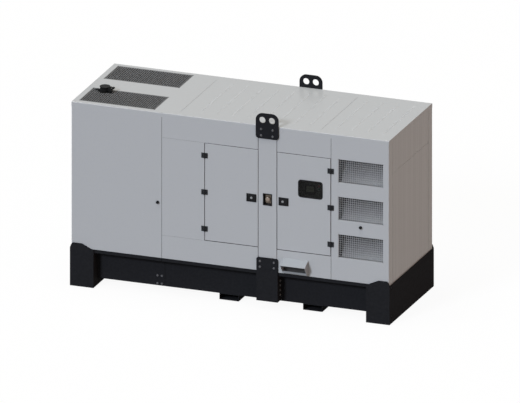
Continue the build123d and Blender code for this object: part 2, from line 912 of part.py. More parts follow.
def hood():
    """Sloping hood over the cable hole, open in front between its brow and its chin."""
    x0, x1 = hood_x, hood_x + hood_width
    shell = hood_prism(hood_profile(0), x0, x1)
    hollow = hood_prism(hood_profile(hood_sheet), x0 + hood_sheet, x1 - hood_sheet)
    rear = block(x0 + hood_sheet, x1 - hood_sheet, -face - 2 * hood_sheet, -face + 1,
                 cable_hole_bottom, cable_hole_top)
    brow = hood_top - hood_brow
    chin = hood_bottom + hood_chin
    slant = ((hood_depth - hood_chin_depth) ** 2 + (brow - chin) ** 2) ** 0.5
    share = hood_mouth / slant
    low_y = hood_depth - share * (hood_depth - hood_chin_depth)
    low_z = brow - share * (brow - chin)
    mouth = make_face(Polyline((hood_depth + 1, brow - hood_sheet),
                               (hood_depth / 3, brow - hood_sheet),
                               (low_y - 2 * hood_sheet, low_z), (hood_depth + 1, low_z - 1),
                               close=True))
    return shell - hollow - rear - hood_prism(mouth, x0 + hood_sheet, x1 - hood_sheet)


def knob(x):
    """Round knob that locks a wall panel."""
    return bar_y(knob_radius, x, -face - knob_length, -face, knob_z)


# Silencer, stack and rain cap

def silencer():
    """Drum hung under the roof on two plates, with its stack up through the roof grille."""
    x1 = silencer_x + silencer_length
    drum = bar_x(silencer_radius, silencer_x, x1, silencer_y, silencer_z)
    body = drum + bar_z(stack_radius, stack_x, stack_y, silencer_z, stack_top)
    for x in (silencer_x + hanger_inset, x1 - hanger_inset):
        body += block(x, x + hanger_plate, -outlet_inner, -outlet_inner + hanger_width,
                      silencer_z, wall_top)
    body += cap_ears() + clamp_boss() + exhaust_pipe(x1)
    return body - bar_z(stack_radius - stack_wall, stack_x, stack_y, wall_top, stack_top + 1)


def exhaust_pipe(x0):
    """The pipe from the drum's end at x0, mitred down to the engine's exhaust manifold."""
    low = head_top - manifold_drop
    level = bar_x(pipe_radius, x0, pipe_x + pipe_radius, pipe_y, silencer_z)
    upright = bar_z(pipe_radius, pipe_x, pipe_y, low, silencer_z + pipe_radius)
    size = 4 * pipe_radius
    corner = Pos(pipe_x, pipe_y, silencer_z) * Rot(0, -45, 0) * Pos(size / 2, 0, 0)
    return level + upright - corner * Box(size, size, size)


def clamp_boss():
    """The bolted ear of the clamp round the stack."""
    x = stack_x + clamp_out_x
    y = stack_y - clamp_out_y
    z = canopy_top + clamp_rise
    half = clamp_width / 2
    angle = degrees(atan2(-clamp_out_y, clamp_out_x))
    reach = hypot(clamp_out_x, clamp_out_y)
    arm = Pos(stack_x, stack_y, z) * Rot(0, 0, angle) * Pos((stack_radius + reach) / 2, 0, 0) * Box(
        reach - stack_radius + 2 * cap_ear_seat, clamp_plate, clamp_plate)
    return arm + bar_y(clamp_radius, x, y - half, y + half, z)


def cap_pin():
    """X and Z of the rain cap's pin."""
    return stack_x + cap_pin_out, stack_top - cap_pin_drop


def cap_ears():
    """Two ears on the stack, with the pin between them."""
    x, z = cap_pin()
    inner = cap_knuckle_width / 2 + cap_ear_gap
    ears = bar_y(cap_pin_radius, x, stack_y - inner - cap_ear, stack_y + inner + cap_ear, z)
    for y in (stack_y - inner - cap_ear, stack_y + inner):
        ears += block(stack_x + stack_radius - cap_ear_seat, x + cap_ear_reach, y, y + cap_ear,
                      z - cap_ear_height, z)
        ears += block(x - cap_pin_radius, x + cap_ear_reach, y, y + cap_ear, z, z + cap_ear_reach)
    return ears


def rain_cap():
    """The lid with its knuckle, arm and balance weight."""
    x, z = cap_pin()
    low = stack_top + cap_clearance
    top = low + cap_plate
    y0 = stack_y - cap_knuckle_width / 2
    y1 = stack_y + cap_knuckle_width / 2
    body = bar_z(cap_radius, stack_x, stack_y, low, top)
    body += block(stack_x, x, y0, y1, low, top)
    body += bar_y(cap_knuckle_radius, x, y0, y1, z)
    body += block(x, x + cap_weight_out, y0, y1, z - cap_tail / 2, z + cap_tail / 2)
    half = cap_weight_width / 2
    body += bar_y(cap_weight_radius, x + cap_weight_out, stack_y - half, stack_y + half,
                  z - cap_weight_drop)
    return body - bar_y(cap_pin_radius + hinge_fit, x, y0, y1, z)


# Machinery

def bearer():
    """Engine bearer on the deck."""
    half = bearer_width / 2
    return block(bearer_x, bearer_x + bearer_length, -bearer_y - half, -bearer_y + half,
                 canopy_bottom, bearer_top)


def machine_feet(x0, x1, inner, top):
    """A pair of feet from a machine's flanks down to the bearers."""
    outer = bearer_y + bearer_width / 2
    foot_front = block(x0, x1, -outer, -inner, bearer_top, bearer_top + machine_foot)
    foot_front += block(x0, x1, -inner - machine_foot, -inner, bearer_top, top)
    return foot_front + mirror(foot_front, about=Plane.XZ)


def engine_block(inset, width, low, height):
    """One level of the engine, centred on the shaft and an inset short of the block's ends."""
    return block(engine_x + inset, engine_end - inset, -width / 2, width / 2, low, low + height)


def engine():
    """Engine: sump, block, head, manifold, air cleaner, flywheel housing, nose shaft, feet."""
    body = engine_block(0, engine_width, block_bottom, block_height)
    body += engine_block(sump_inset, sump_width, block_bottom - sump_depth, sump_depth)
    body += engine_block(head_inset, head_width, block_top, head_height)
    cover = engine_block(cover_inset, cover_width, head_top, cover_height)
    body += chamfer(cover.edges().group_by(Axis.Z)[-1], cover_edge)
    top = head_top - manifold_drop
    body += block(engine_x + manifold_inset, engine_end - manifold_inset,
                  pipe_y - pipe_radius, 0, top - manifold_height, top)
    middle = (engine_x + engine_end) / 2
    body += bar_x(cleaner_radius, middle - cleaner_length / 2, middle + cleaner_length / 2,
                  cleaner_y, head_top + cover_height)
    body += bar_x(bell_radius, engine_end, alternator_x, 0, shaft_z)
    last_foot = engine_end - engine_foot_inset - engine_foot_length
    for x in (engine_x + engine_foot_inset, last_foot):
        body += machine_feet(x, x + engine_foot_length, engine_width / 2,
                             block_bottom + engine_foot_height)
    return body + bar_x(fan_shaft_radius, engine_x - fan_gap, engine_x, 0, shaft_z)


def fan():
    """Cooling fan on the engine's nose."""
    x1 = engine_x - fan_gap
    x0 = x1 - fan_hub_length
    body = bar_x(fan_hub_radius, x0, x1, 0, shaft_z)
    span = fan_radius - fan_shaft_radius
    for number in range(fan_blades):
        blade = Pos(0, 0, fan_shaft_radius + span / 2) * Rot(0, 0, fan_pitch_angle) * Box(
            fan_blade_plate, fan_blade_chord, span)
        body += Pos((x0 + x1) / 2, 0, shaft_z) * Rot(number * 360 / fan_blades, 0, 0) * blade
    return body


def radiator():
    """Cooling core between two side frames, on feet, with a header tank above."""
    x0, x1 = radiator_x, radiator_x + radiator_depth
    reach = radiator_half_width
    body = block(x0 + core_inset, x1 - core_inset, -reach, reach, radiator_bottom, radiator_top)
    for side in (-1, 1):
        y0, y1 = sorted((side * reach, side * (reach - radiator_frame)))
        body += block(x0, x1, y0, y1, canopy_bottom, radiator_top)
    body += block(x0, x1, -reach, reach, radiator_top - radiator_frame, radiator_top)
    return body + block(x0, x1, -reach, reach, radiator_bottom, radiator_bottom + radiator_tray)


def alternator():
    """Alternator: finned frame, end bell, terminal box on top and its feet."""
    x0, x1 = alternator_x, alternator_x + alternator_length
    body = bar_x(alternator_radius, x0, x1, 0, shaft_z)
    for number in range(alternator_fins):
        fin = block(x0 + alternator_fin_inset, x1 - alternator_fin_inset,
                    -alternator_fin / 2, alternator_fin / 2,
                    alternator_radius - alternator_fin_seat,
                    alternator_radius + alternator_fin_height)
        body += Pos(0, 0, shaft_z) * Rot(number * 360 / alternator_fins, 0, 0) * fin
    bell = bar_x(alternator_bell_radius, x1, x1 + alternator_bell, 0, shaft_z)
    body += chamfer(bell.edges().sort_by(Axis.X)[-1], alternator_bell_edge)
    middle = (x0 + x1) / 2
    half = terminal_box_length / 2
    crown = shaft_z + alternator_radius
    body += block(middle - half, middle + half, -terminal_box_width / 2, terminal_box_width / 2,
                  crown - terminal_box_seat, crown + terminal_box_height)
    half = alternator_foot_length / 2
    return body + machine_feet(middle - half, middle + half, alternator_foot_inner,
                               shaft_z - alternator_foot_drop)


def cabinet():
    """Control cabinet on the lifting post, open towards the window."""
    y0 = -lining + cabinet_setback
    body = block(cabinet_x, cabinet_x + cabinet_length, y0, y0 + cabinet_depth,
                 cabinet_bottom, cabinet_top)
    inset = cabinet_sheet
    return body - block(cabinet_x + inset, cabinet_x + cabinet_length - inset, y0 - 1,
                        y0 + panel_inset, cabinet_bottom + inset, cabinet_top - inset)


def control_panel():
    """The cabinet's face plate with its screen bezel and a column of buttons."""
    x0 = cabinet_x + cabinet_sheet
    x1 = cabinet_x + cabinet_length - cabinet_sheet
    y1 = -lining + cabinet_setback + panel_inset
    y0 = y1 - panel_plate
    plate = block(x0, x1, y0, y1, cabinet_bottom + cabinet_sheet, cabinet_top - cabinet_sheet)
    middle = window_x + window_width / 2
    z = window_bottom + window_height / 2
    plate += block(middle - screen_width, middle, y0 - screen_bezel, y0,
                   z - screen_height / 2, z + screen_height / 2)
    for row in range(button_rows):
        height = z + (row - (button_rows - 1) / 2) * button_pitch
        plate += Pos(middle + button_from_screen, y0 - button_length / 2, height) * Box(
            button_width, button_length, button_width)
    return plate


def splitter_slab():
    """Sound splitter behind the inlet grilles."""
    y0 = -lining + splitter_gap
    return block(end_lining - splitter_length, end_lining, y0, y0 + splitter,
                 canopy_bottom, wall_top)


def bulkhead():
    """Wall between the machine room and the outlet plenum, with the exhaust pipe's hole."""
    wall_plate = block(radiator_x, radiator_x + bulkhead_plate, -lining, lining,
                       radiator_top, wall_top)
    return wall_plate - bar_x(pipe_radius + pipe_hole_gap, radiator_x, radiator_x + bulkhead_plate,
                              pipe_y, silencer_z)


def main():
    os.makedirs("parts", exist_ok=True)
    right_foot = foot()
    save("right_foot", right_foot)
    save("left_foot", mirror(right_foot, about=Plane.YZ))
    save("side_rails", *both_sides(rail()))
    save("fork_pockets", fork_pocket(lift_x - fork_spacing / 2),
         fork_pocket(lift_x + fork_spacing / 2))
    save("deck", deck())
    save("lifting_brackets", *both_sides(bracket()))
    save("lifting_plates", *both_sides(lifting_plate()))
    save("lifting_posts", *both_sides(lifting_post()))
    save("lifting_beam", lifting_beam())

    post_left = door_left_seam + door_gap / 2
    post_right = door_right_x - door_gap / 2
    inlet_seam = door_right_seam + door_gap / 2
    panel_right = door_left_x - door_gap / 2
    panel_low = door_bottom - door_gap / 2
    panel_high = door_top + door_gap / 2
    save("front_end_panel", corner_panel(left_module_x, -1))
    half_seam = seam_width / 2
    save("front_fixed_panel", front_slab(left_module_x, panel_right, panel_low, panel_high,
                                         half_seam, 0, half_seam, half_seam))
    save("front_headers", header(left_module_x, post_left, half_seam, door_gap),
         header(post_right, inlet_seam, door_gap, half_seam))
    save("front_sills", sill(left_module_x, post_left, half_seam, door_gap),
         sill(post_right, inlet_seam, door_gap, half_seam) - cable_hole())
    save("front_post", post())
    save("front_inlet_wall", inlet_wall())
    save("back_wall", back_wall())
    save("back_inlet_wall", mirror(inlet_wall(), about=Plane.XZ))
    save("back_doors", *back_doors())
    save("end_walls", end_wall(-1), end_wall(1))
    save("roof_outlet_section", outlet_roof())
    save("roof_centre", ribbed_roof(roof_seam_left, roof_seam_right, rib_from_left_seam))
    save("roof_right", ribbed_roof(roof_seam_right, end_face, rib_from_right_seam))
    save("roof_grilles", roof_grille(-1), roof_grille(1))
    grilles = []
    for z in inlet_bottoms:
        grilles += both_sides(inlet_grille(z))
    save("inlet_grilles", *grilles)
    save("inlet_splitters", *both_sides(splitter_slab()))

    left_latch_x = door_left_seam - latch_from_seam
    right_latch_x = door_right_x + latch_from_seam
    save("door_frames", door_frame(door_left_x, door_left_seam),
         door_frame(door_right_x, door_right_seam))
    save("left_door", door(door_left_x, door_left_seam, left_latch_x))
    opening = upright_plate(window_outline(0), -half_width, 0)
    save("right_door", door(door_right_x, door_right_seam, right_latch_x) - opening)
    save("door_window", window())
    fixed = [hinge_fixed(door_left_x, -1, z) for z in hinge_levels]
    fixed += [hinge_fixed(door_right_seam, 1, z) for z in hinge_levels]
    save("hinge_wall_leaves", *fixed)
    save("left_door_hinges", *[hinge_moving(door_left_x, -1, z) for z in hinge_levels])
    save("right_door_hinges", *[hinge_moving(door_right_seam, 1, z) for z in hinge_levels])
    fittings = [back_hinge(x, z) for x in (door_left_x, door_right_seam) for z in hinge_levels]
    fittings += [back_latch(x) for x in (left_latch_x, right_latch_x)]
    save("back_door_fittings", *fittings)
    save("left_latch", latch(left_latch_x))
    save("right_latch", latch(right_latch_x))
    save("left_paddle", paddle(left_latch_x))
    save("right_paddle", paddle(right_latch_x))

    save("stop_housing", stop_housing())
    save("stop_button", stop_button())
    save("cable_hoods", *both_sides(hood()))
    save("panel_knobs", *[shape for x in knob_places for shape in both_sides(knob(x))])
    save("silencer", silencer())
    save("rain_cap", rain_cap())
    save("engine_bearers", *both_sides(bearer()))
    save("engine", engine())
    save("fan", fan())
    save("radiator", radiator())
    save("bulkhead", bulkhead())
    save("alternator", alternator())
    save("control_cabinet", cabinet())
    save("control_panel", control_panel())


if __name__ == "__main__":
    main()
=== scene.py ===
"""Looks of the enclosed diesel generator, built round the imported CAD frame, in metres."""
import json
import math

import bmesh
import bpy
from mathutils import Matrix, Vector, geometry

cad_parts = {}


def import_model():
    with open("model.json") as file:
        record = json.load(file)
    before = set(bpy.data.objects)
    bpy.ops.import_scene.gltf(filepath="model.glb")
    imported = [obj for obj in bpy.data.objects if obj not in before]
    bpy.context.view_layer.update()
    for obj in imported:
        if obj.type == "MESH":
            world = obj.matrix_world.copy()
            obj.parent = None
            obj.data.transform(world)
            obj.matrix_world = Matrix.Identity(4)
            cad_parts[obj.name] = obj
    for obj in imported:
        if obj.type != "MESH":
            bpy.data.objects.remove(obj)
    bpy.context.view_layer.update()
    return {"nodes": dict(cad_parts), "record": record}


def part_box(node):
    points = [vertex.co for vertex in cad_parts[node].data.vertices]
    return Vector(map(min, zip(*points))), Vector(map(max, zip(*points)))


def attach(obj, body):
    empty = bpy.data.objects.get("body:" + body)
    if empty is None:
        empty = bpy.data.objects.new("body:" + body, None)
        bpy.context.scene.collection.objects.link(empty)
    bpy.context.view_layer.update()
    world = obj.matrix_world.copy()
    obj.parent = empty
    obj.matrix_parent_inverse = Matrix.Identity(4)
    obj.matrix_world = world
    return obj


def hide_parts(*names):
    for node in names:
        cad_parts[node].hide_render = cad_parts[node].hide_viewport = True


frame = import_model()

nodes = frame["nodes"]

# Camera: the photograph is a parallel view, taken from the right of the front and above it
VIEW_AZIMUTH = math.radians(20.656)
VIEW_ELEVATION = math.radians(19.445)
VIEW_WIDTH = 5.7845
VIEW_CENTRE = Vector((-0.0250, 0.3224, 0.8829))
VIEW_DISTANCE = 14.0

# Sizes of what is only dressed here
MESH_PITCH = 0.0245
MESH_BAR = 0.0023
MESH_DEPTH = 0.003
MESH_RIM = 0.006
DEFLECTOR_GAP = 0.004     # from the mesh back to the deflector's lip
DEFLECTOR_SILL = 0.048
DEFLECTOR_RISE = 0.020    # of its top over the opening
DEFLECTOR_SHEET = 0.002
DEFLECTOR_SIDE = 0.022    # clear way at its left, beside the opening's edge
ROOF_PITCH = 0.0258
ROOF_BAR = 0.0068         # of the bars across the canopy
ROOF_WIRE = 0.0022        # of those along it
ROOF_DEPTH = 0.003
ROOF_SINK = 0.0005        # of its top below the rim
ROOF_RIM = 0.012
STACK_WAY = 0.063         # radius of the hole for the stack, as in the source
CLAMP_BORE = 0.0552       # radius, just over the stack's own
STEM_WAY = 0.0115         # radius of the hole for the stop button's stem
STOP_PLATE = 0.005
SHEET = 0.005             # the outer skin over the lining
INLET_JAMB = 0.030        # painted edge of the inlet openings
LEAF_THICKNESS = 0.005    # of the hinges, as in the source
LEAF_MIDDLE = 0.013       # of a leaf's flat, from its free edge
PANEL_SHIFT = 0.032       # of the panel's fittings from the middle of the window
WINDOW_CORNER = 0.034     # as in the source
ENGINE_HALF_WIDTH = 0.220 # of the block, as in the source
BLOCK_TOP = 1.080
COVER_TOP = 1.350
CYLINDER_PITCH = 0.107
MANIFOLD_REACH = 0.225
MANIFOLD_MIDDLE = 1.165
DRUM_Y, DRUM_Z, DRUM_RADIUS, DRUM_END = -0.130, 1.840, 0.150, -0.960
BOLT_ACROSS = 0.019
BOLT_HEAD = 0.008
WASHER_RADIUS = 0.0135
WASHER_THICKNESS = 0.0025
SCREW_CROWN = 0.0015
EDGE_ROUNDING = 0.002     # how far light catches on a sharp edge


def centre(node):
    low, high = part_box(node)
    return (Vector(low) + Vector(high)) / 2


def side_of(low):
    """1 at the back of the machine, -1 at its front."""
    return 1 if low[1] > 0 else -1


def stack_axis():
    """X and Y of the exhaust stack, under the round lid of the rain cap."""
    low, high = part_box("rain_cap")
    return Vector((low[0] + (high[1] - low[1]) / 2, (low[1] + high[1]) / 2))


def body_of_node(node):
    """The body that a CAD node rides on."""
    for body, names in frame["record"]["behaviour"]["bodies"].items():
        if node in names:
            return body
    raise KeyError(node)


def solids_of(node):
    """The boxes of a node's separate solids, from its own mesh."""
    builder = bmesh.new()
    builder.from_mesh(nodes[node].data)
    bmesh.ops.remove_doubles(builder, verts=builder.verts, dist=0.00001)
    left = set(builder.verts)
    boxes = []
    while left:
        reach = [left.pop()]
        group = []
        while reach:
            vertex = reach.pop()
            group.append(vertex.co.copy())
            for edge in vertex.link_edges:
                other = edge.other_vert(vertex)
                if other in left:
                    left.discard(other)
                    reach.append(other)
        boxes.append((Vector([min(p[k] for p in group) for k in range(3)]),
                      Vector([max(p[k] for p in group) for k in range(3)])))
    builder.free()
    return sorted(boxes, key=lambda pair: tuple(round(v, 4) for v in pair[0]))


# Materials

class Shader:
    """A node material under construction, with object coordinates at hand."""

    def __init__(self, name):
        self.material = bpy.data.materials.new(name)
        self.material.use_nodes = True
        self.tree = self.material.node_tree
        self.bsdf = self.tree.nodes["Principled BSDF"]
        self.place = self.add("ShaderNodeTexCoord").outputs["Object"]

    def add(self, kind, **settings):
        node = self.tree.nodes.new(kind)
        for key, value in settings.items():
            setattr(node, key, value)
        return node

    def link(self, source, target):
        self.tree.links.new(source, target)

    def noise(self, scale, detail=3.0, stretch=None):
        """Noise over the object; stretch scales it apart along X, Y and Z."""
        place = self.place
        if stretch:
            mapping = self.add("ShaderNodeMapping")
            mapping.inputs["Scale"].default_value = stretch
            self.link(place, mapping.inputs["Vector"])
            place = mapping.outputs["Vector"]
        node = self.add("ShaderNodeTexNoise")
        node.inputs["Scale"].default_value = scale
        node.inputs["Detail"].default_value = detail
        self.link(place, node.inputs["Vector"])
        return node.outputs["Fac"]

    def ramp(self, value, low, high, start=0.0, end=1.0):
        """A colour ramp from low to high as value goes from start to end."""
        node = self.add("ShaderNodeValToRGB")
        first, last = node.color_ramp.elements
        first.position, last.position = start, end
        first.color = (*low, 1)
        last.color = (*high, 1)
        self.link(value, node.inputs["Fac"])
        return node.outputs["Color"]

    def span(self, value, low, high, start=0.0, end=1.0):
        """Value mapped from start..end to low..high."""
        node = self.add("ShaderNodeMapRange")
        for key, number in (("From Min", start), ("From Max", end), ("To Min", low),
                            ("To Max", high)):
            node.inputs[key].default_value = number
        self.link(value, node.inputs["Value"])
        return node.outputs["Result"]

    def math(self, operation, first, second):
        node = self.add("ShaderNodeMath", operation=operation)
        for socket, value in zip(node.inputs, (first, second)):
            if isinstance(value, (int, float)):
                socket.default_value = value
            else:
                self.link(value, socket)
        return node.outputs["Value"]

    def mix(self, factor, first, second):
        """Two colours mixed by a factor; either may be plain numbers."""
        node = self.add("ShaderNodeMix", data_type="RGBA")
        self.link(factor, node.inputs["Factor"])
        for key, value in ((6, first), (7, second)):
            if isinstance(value, tuple):
                node.inputs[key].default_value = (*value, 1)
            else:
                self.link(value, node.inputs[key])
        return node.outputs[2]

    def axes(self):
        node = self.add("ShaderNodeSeparateXYZ")
        self.link(self.place, node.inputs["Vector"])
        return node.outputs["X"], node.outputs["Y"], node.outputs["Z"]

    def facing(self, axis):
        """How far the surface faces along X, Y or Z in its own rest frame."""
        coordinates = self.place.node
        node = self.add("ShaderNodeSeparateXYZ")
        self.link(coordinates.outputs["Normal"], node.inputs["Vector"])
        return node.outputs[axis]

    def bump(self, height, distance, strength=1.0, rounding=EDGE_ROUNDING):
        """A fine relief, on edges that catch the light as if slightly rounded."""
        node = self.add("ShaderNodeBump")
        edge = self.add("ShaderNodeBevel", samples=4)
        edge.inputs["Radius"].default_value = rounding
        self.link(edge.outputs["Normal"], node.inputs["Normal"])
        node.inputs["Strength"].default_value = strength
        node.inputs["Distance"].default_value = distance
        self.link(height, node.inputs["Height"])
        self.link(node.outputs["Normal"], self.bsdf.inputs["Normal"])


def shade(colour, factor):
    return tuple(min(1.0, part * factor) for part in colour)


def enamel(name, colour, roughness, spread=0.03, grain=420.0, peel=0.00012, metallic=0.0,
           coat=0.0, gloss=0.5, rounding=EDGE_ROUNDING):
    """Painted or moulded surface: a fine mottle of tone and gloss, and a fine orange peel."""
    shader = Shader(name)
    mottle = shader.noise(38.0, 5.0)
    tone = shader.ramp(mottle, shade(colour, 1 - spread), shade(colour, 1 + spread), 0.3, 0.7)
    shader.link(tone, shader.bsdf.inputs["Base Color"])
    rough = shader.span(shader.noise(21.0, 4.0), roughness * 0.93, roughness * 1.07, 0.3, 0.7)
    shader.link(rough, shader.bsdf.inputs["Roughness"])
    shader.bsdf.inputs["Metallic"].default_value = metallic
    shader.bsdf.inputs["Coat Weight"].default_value = coat
    shader.bsdf.inputs["Specular IOR Level"].default_value = gloss
    shader.bump(shader.noise(grain, 2.0), peel, rounding=rounding)
    return shader


CANOPY = (0.454, 0.467, 0.472)
CANOPY_GLOSS = 0.06
CANOPY_ROUGHNESS = 0.25
FOAM = (0.030, 0.030, 0.032)
BLACK = (0.0180, 0.0186, 0.0206)
PLASTIC = (0.0090, 0.0092, 0.0100)


def canopy_material():
    """Light grey powder coat outside, dark sound-damping lining on the inner faces."""
    shader = enamel("canopy_paint", CANOPY, CANOPY_ROUGHNESS, spread=0.008, peel=0.00004,
                    gloss=CANOPY_GLOSS, rounding=0.001)
    paint = shader.bsdf.inputs["Base Color"].links[0].from_socket
    x, y, z = shader.axes()
    streaks = shader.ramp(shader.noise(1.0, 4.0, (0.0, 26.0, 0.35)), shade(CANOPY, 0.955),
                          shade(CANOPY, 1.03), 0.35, 0.65)
    endward = shader.math("ABSOLUTE", shader.facing(0), 0.0)
    paint = shader.mix(shader.span(endward, 0.0, 1.0, 0.6, 0.9), paint, streaks)
    low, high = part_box("front_inlet_wall")
    face = -low[1] - SHEET
    end = high[0] - SHEET
    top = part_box("roof_outlet_section")[1][2] - SHEET
    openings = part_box("inlet_grilles")[0][0] - 0.002
    jambs = shader.math("MULTIPLY", shader.math("GREATER_THAN", x, openings), INLET_JAMB)
    outward = shader.math("ADD", shader.math("ABSOLUTE", y, 0.0), jambs)
    inside = shader.math("LESS_THAN", outward, face)
    inside = shader.math("MULTIPLY", inside,
                         shader.math("LESS_THAN", shader.math("ABSOLUTE", x, 0.0), end))
    inside = shader.math("MULTIPLY", inside, shader.math("LESS_THAN", z, top))
    cells = shader.add("ShaderNodeTexVoronoi", feature="F1")
    cells.inputs["Scale"].default_value = 55.0
    shader.link(shader.place, cells.inputs["Vector"])
    foam = shader.ramp(cells.outputs["Distance"], shade(FOAM, 0.55), shade(FOAM, 1.3), 0.1, 0.6)
    shader.link(shader.mix(inside, paint, foam), shader.bsdf.inputs["Base Color"])
    gloss = shader.bsdf.inputs["Roughness"].links[0].from_socket
    rough = shader.math("MAXIMUM", gloss, shader.math("MULTIPLY", inside, 0.9))
    shader.link(rough, shader.bsdf.inputs["Roughness"])
    return shader.material


def deflector_material():
    """Sheet behind the inlet mesh, with painted shade: plain paint low down, darker and darker
    higher up and towards the left of each opening.
    """
    # The base is the canopy paint made darker: painted shade.
    shader = enamel("deflector_sheet_painted_shade", shade(CANOPY, 0.84), 0.6, spread=0.02)
    paint = shader.bsdf.inputs["Base Color"].links[0].from_socket
    low, high = solids_of("inlet_grilles")[0]
    pitch = inlet_pitch()
    x, _, z = shader.axes()
    above = shader.math("DIVIDE", shader.math("SUBTRACT", z, low[2] - 0.004), pitch)
    rise = shader.math("MULTIPLY", shader.math("FRACT", above, 0.0), pitch / (high[2] - low[2]))
    shade_reach = shader.math("ADD", rise, shader.span(shader.noise(14.0, 3.0), -0.05, 0.05))
    # Painted shade also grows towards the left edge of each opening, where the jamb's shadow falls.
    shade_reach = shader.math("ADD", shade_reach, shader.span(x, 0.26, 0.0, low[0], low[0] + 0.36))
    painted_shade = shader.math("POWER", shader.span(shade_reach, 0.0, 1.0, 0.0, 1.0), 0.62)
    # Mixes the paint towards a near-black tone as painted shade, darkest at the top.
    shader.link(shader.mix(painted_shade, paint, shade(FOAM, 0.3)), shader.bsdf.inputs["Base Color"])
    return shader.material


def inlet_pitch():
    """Height from one inlet to the next."""
    levels = sorted({round(low[2], 4) for low, high in solids_of("inlet_grilles")})
    return levels[1] - levels[0]


def core_material():
    """Radiator core: fine upright fins between level tubes."""
    shader = enamel("core_metal", (0.11, 0.11, 0.11), 0.55, metallic=0.6)
    wave = shader.add("ShaderNodeTexWave", bands_direction="Y")
    wave.inputs["Scale"].default_value = 90.0
    shader.link(shader.place, wave.inputs["Vector"])
    tubes = shader.add("ShaderNodeTexWave", bands_direction="Z")
    tubes.inputs["Scale"].default_value = 16.0
    shader.link(shader.place, tubes.inputs["Vector"])
    height = shader.math("ADD", wave.outputs["Fac"], tubes.outputs["Fac"])
    shader.bump(height, 0.003)
    tone = shader.ramp(tubes.outputs["Fac"], (0.05, 0.05, 0.05), (0.16, 0.16, 0.16))
    shader.link(tone, shader.bsdf.inputs["Base Color"])
    return shader.material


def smoked_glass():
    """Smoked clear sheet: what lies behind it shows dimly."""
    shader = Shader("smoked_sheet")
    drift = shader.ramp(shader.noise(9.0), (0.0060, 0.0062, 0.0060), (0.0085, 0.0088, 0.0082))
    shader.link(drift, shader.bsdf.inputs["Base Color"])
    shader.bsdf.inputs["Roughness"].default_value = 0.06
    shader.bsdf.inputs["Specular IOR Level"].default_value = 0.15
    shader.bsdf.inputs["Alpha"].default_value = 0.45
    return shader.material


MATERIALS = {
    "canopy": canopy_material(),
    "canopy_plain": enamel("canopy_paint_plain", CANOPY, CANOPY_ROUGHNESS, spread=0.008,
                           peel=0.00004, gloss=CANOPY_GLOSS).material,
    "skid": enamel("skid_paint", BLACK, 0.65, spread=0.10, grain=260.0, peel=0.0001,
                   gloss=0.005).material,
    # The canopy's paint made darker and bluer on the cable hoods: painted shade on their sloping
    # tops, which catch both lamps.
    "hood": enamel("canopy_paint_shaded_hoods", (0.362, 0.386, 0.404), 0.34, spread=0.01,
                   peel=0.00004, gloss=0.15).material,
    "deflector": deflector_material(),
    "plastic": enamel("moulded_plastic", PLASTIC, 0.42, spread=0.05, grain=700.0,
                      peel=0.00006, gloss=0.12).material,
    "hinge": enamel("hinge_plastic", (0.0190, 0.0200, 0.0225), 0.45, spread=0.05, grain=700.0,
                    peel=0.00006, gloss=0.12).material,
    "mesh": enamel("outlet_mesh", (0.192, 0.195, 0.196), 0.60, spread=0.06, gloss=0.08).material,
    "exhaust": enamel("exhaust_paint", (0.0075, 0.0080, 0.0080), 0.60, spread=0.12,
                      grain=180.0, gloss=0.08).material,
    "cap": enamel("cap_steel", (0.0095, 0.0100, 0.0100), 0.60, spread=0.08, grain=220.0,
                  gloss=0.08).material,
    "engine": enamel("engine_enamel", (0.16, 0.18, 0.19), 0.40, spread=0.08, grain=120.0,
                     peel=0.0004).material,
    "core": core_material(),
    "lining": enamel("lining_sheet", FOAM, 0.9, spread=0.15, grain=90.0, peel=0.0015).material,
    "cabinet": enamel("cabinet_enamel", (0.38, 0.40, 0.40), 0.45).material,
    "panel": enamel("panel_face", (0.045, 0.047, 0.040), 0.5, spread=0.08, grain=500.0).material,
    "glass": smoked_glass(),
    "rubber": enamel("rubber", (0.012, 0.012, 0.013), 0.6, spread=0.08, grain=300.0,
                     gloss=0.12).material,
    "bronze": enamel("bronze_button", (0.255, 0.200, 0.152), 0.30, spread=0.05,
                     coat=0.3).material,
    "bronze_dark": enamel("bronze_plate", (0.125, 0.092, 0.062), 0.40, spread=0.06,
                          coat=0.3).material,
    "zinc": enamel("zinc_plate", (0.30, 0.31, 0.32), 0.38, spread=0.08, grain=300.0,
                   metallic=0.7).material,
    "bolt": enamel("bolt_steel", (0.118, 0.120, 0.124), 0.50, spread=0.08, grain=300.0,
                   gloss=0.15).material,
    "screen": enamel("screen_face", (0.12, 0.128, 0.088), 0.25, spread=0.10, grain=500.0).material,
    "red": enamel("red_button", (0.20, 0.022, 0.018), 0.35, spread=0.05).material,
    "green": enamel("green_button", (0.022, 0.11, 0.040), 0.35, spread=0.05).material,
    "cast": enamel("cast_iron", (0.060, 0.063, 0.066), 0.60, spread=0.15, grain=160.0,
                   peel=0.0006).material,
    "alloy": enamel("alloy", (0.36, 0.365, 0.37), 0.42, spread=0.10, grain=200.0,
                    peel=0.0003, metallic=0.6).material,
    # Dark warm sheet inside the cable hoods: painted shade.
    "hood_shade_dark": enamel("hood_painted_shade", (0.040, 0.039, 0.037), 0.7, spread=0.12,
                         grain=60.0).material,
    "filter": enamel("filter_paint", (0.42, 0.40, 0.30), 0.40, spread=0.06).material,
}

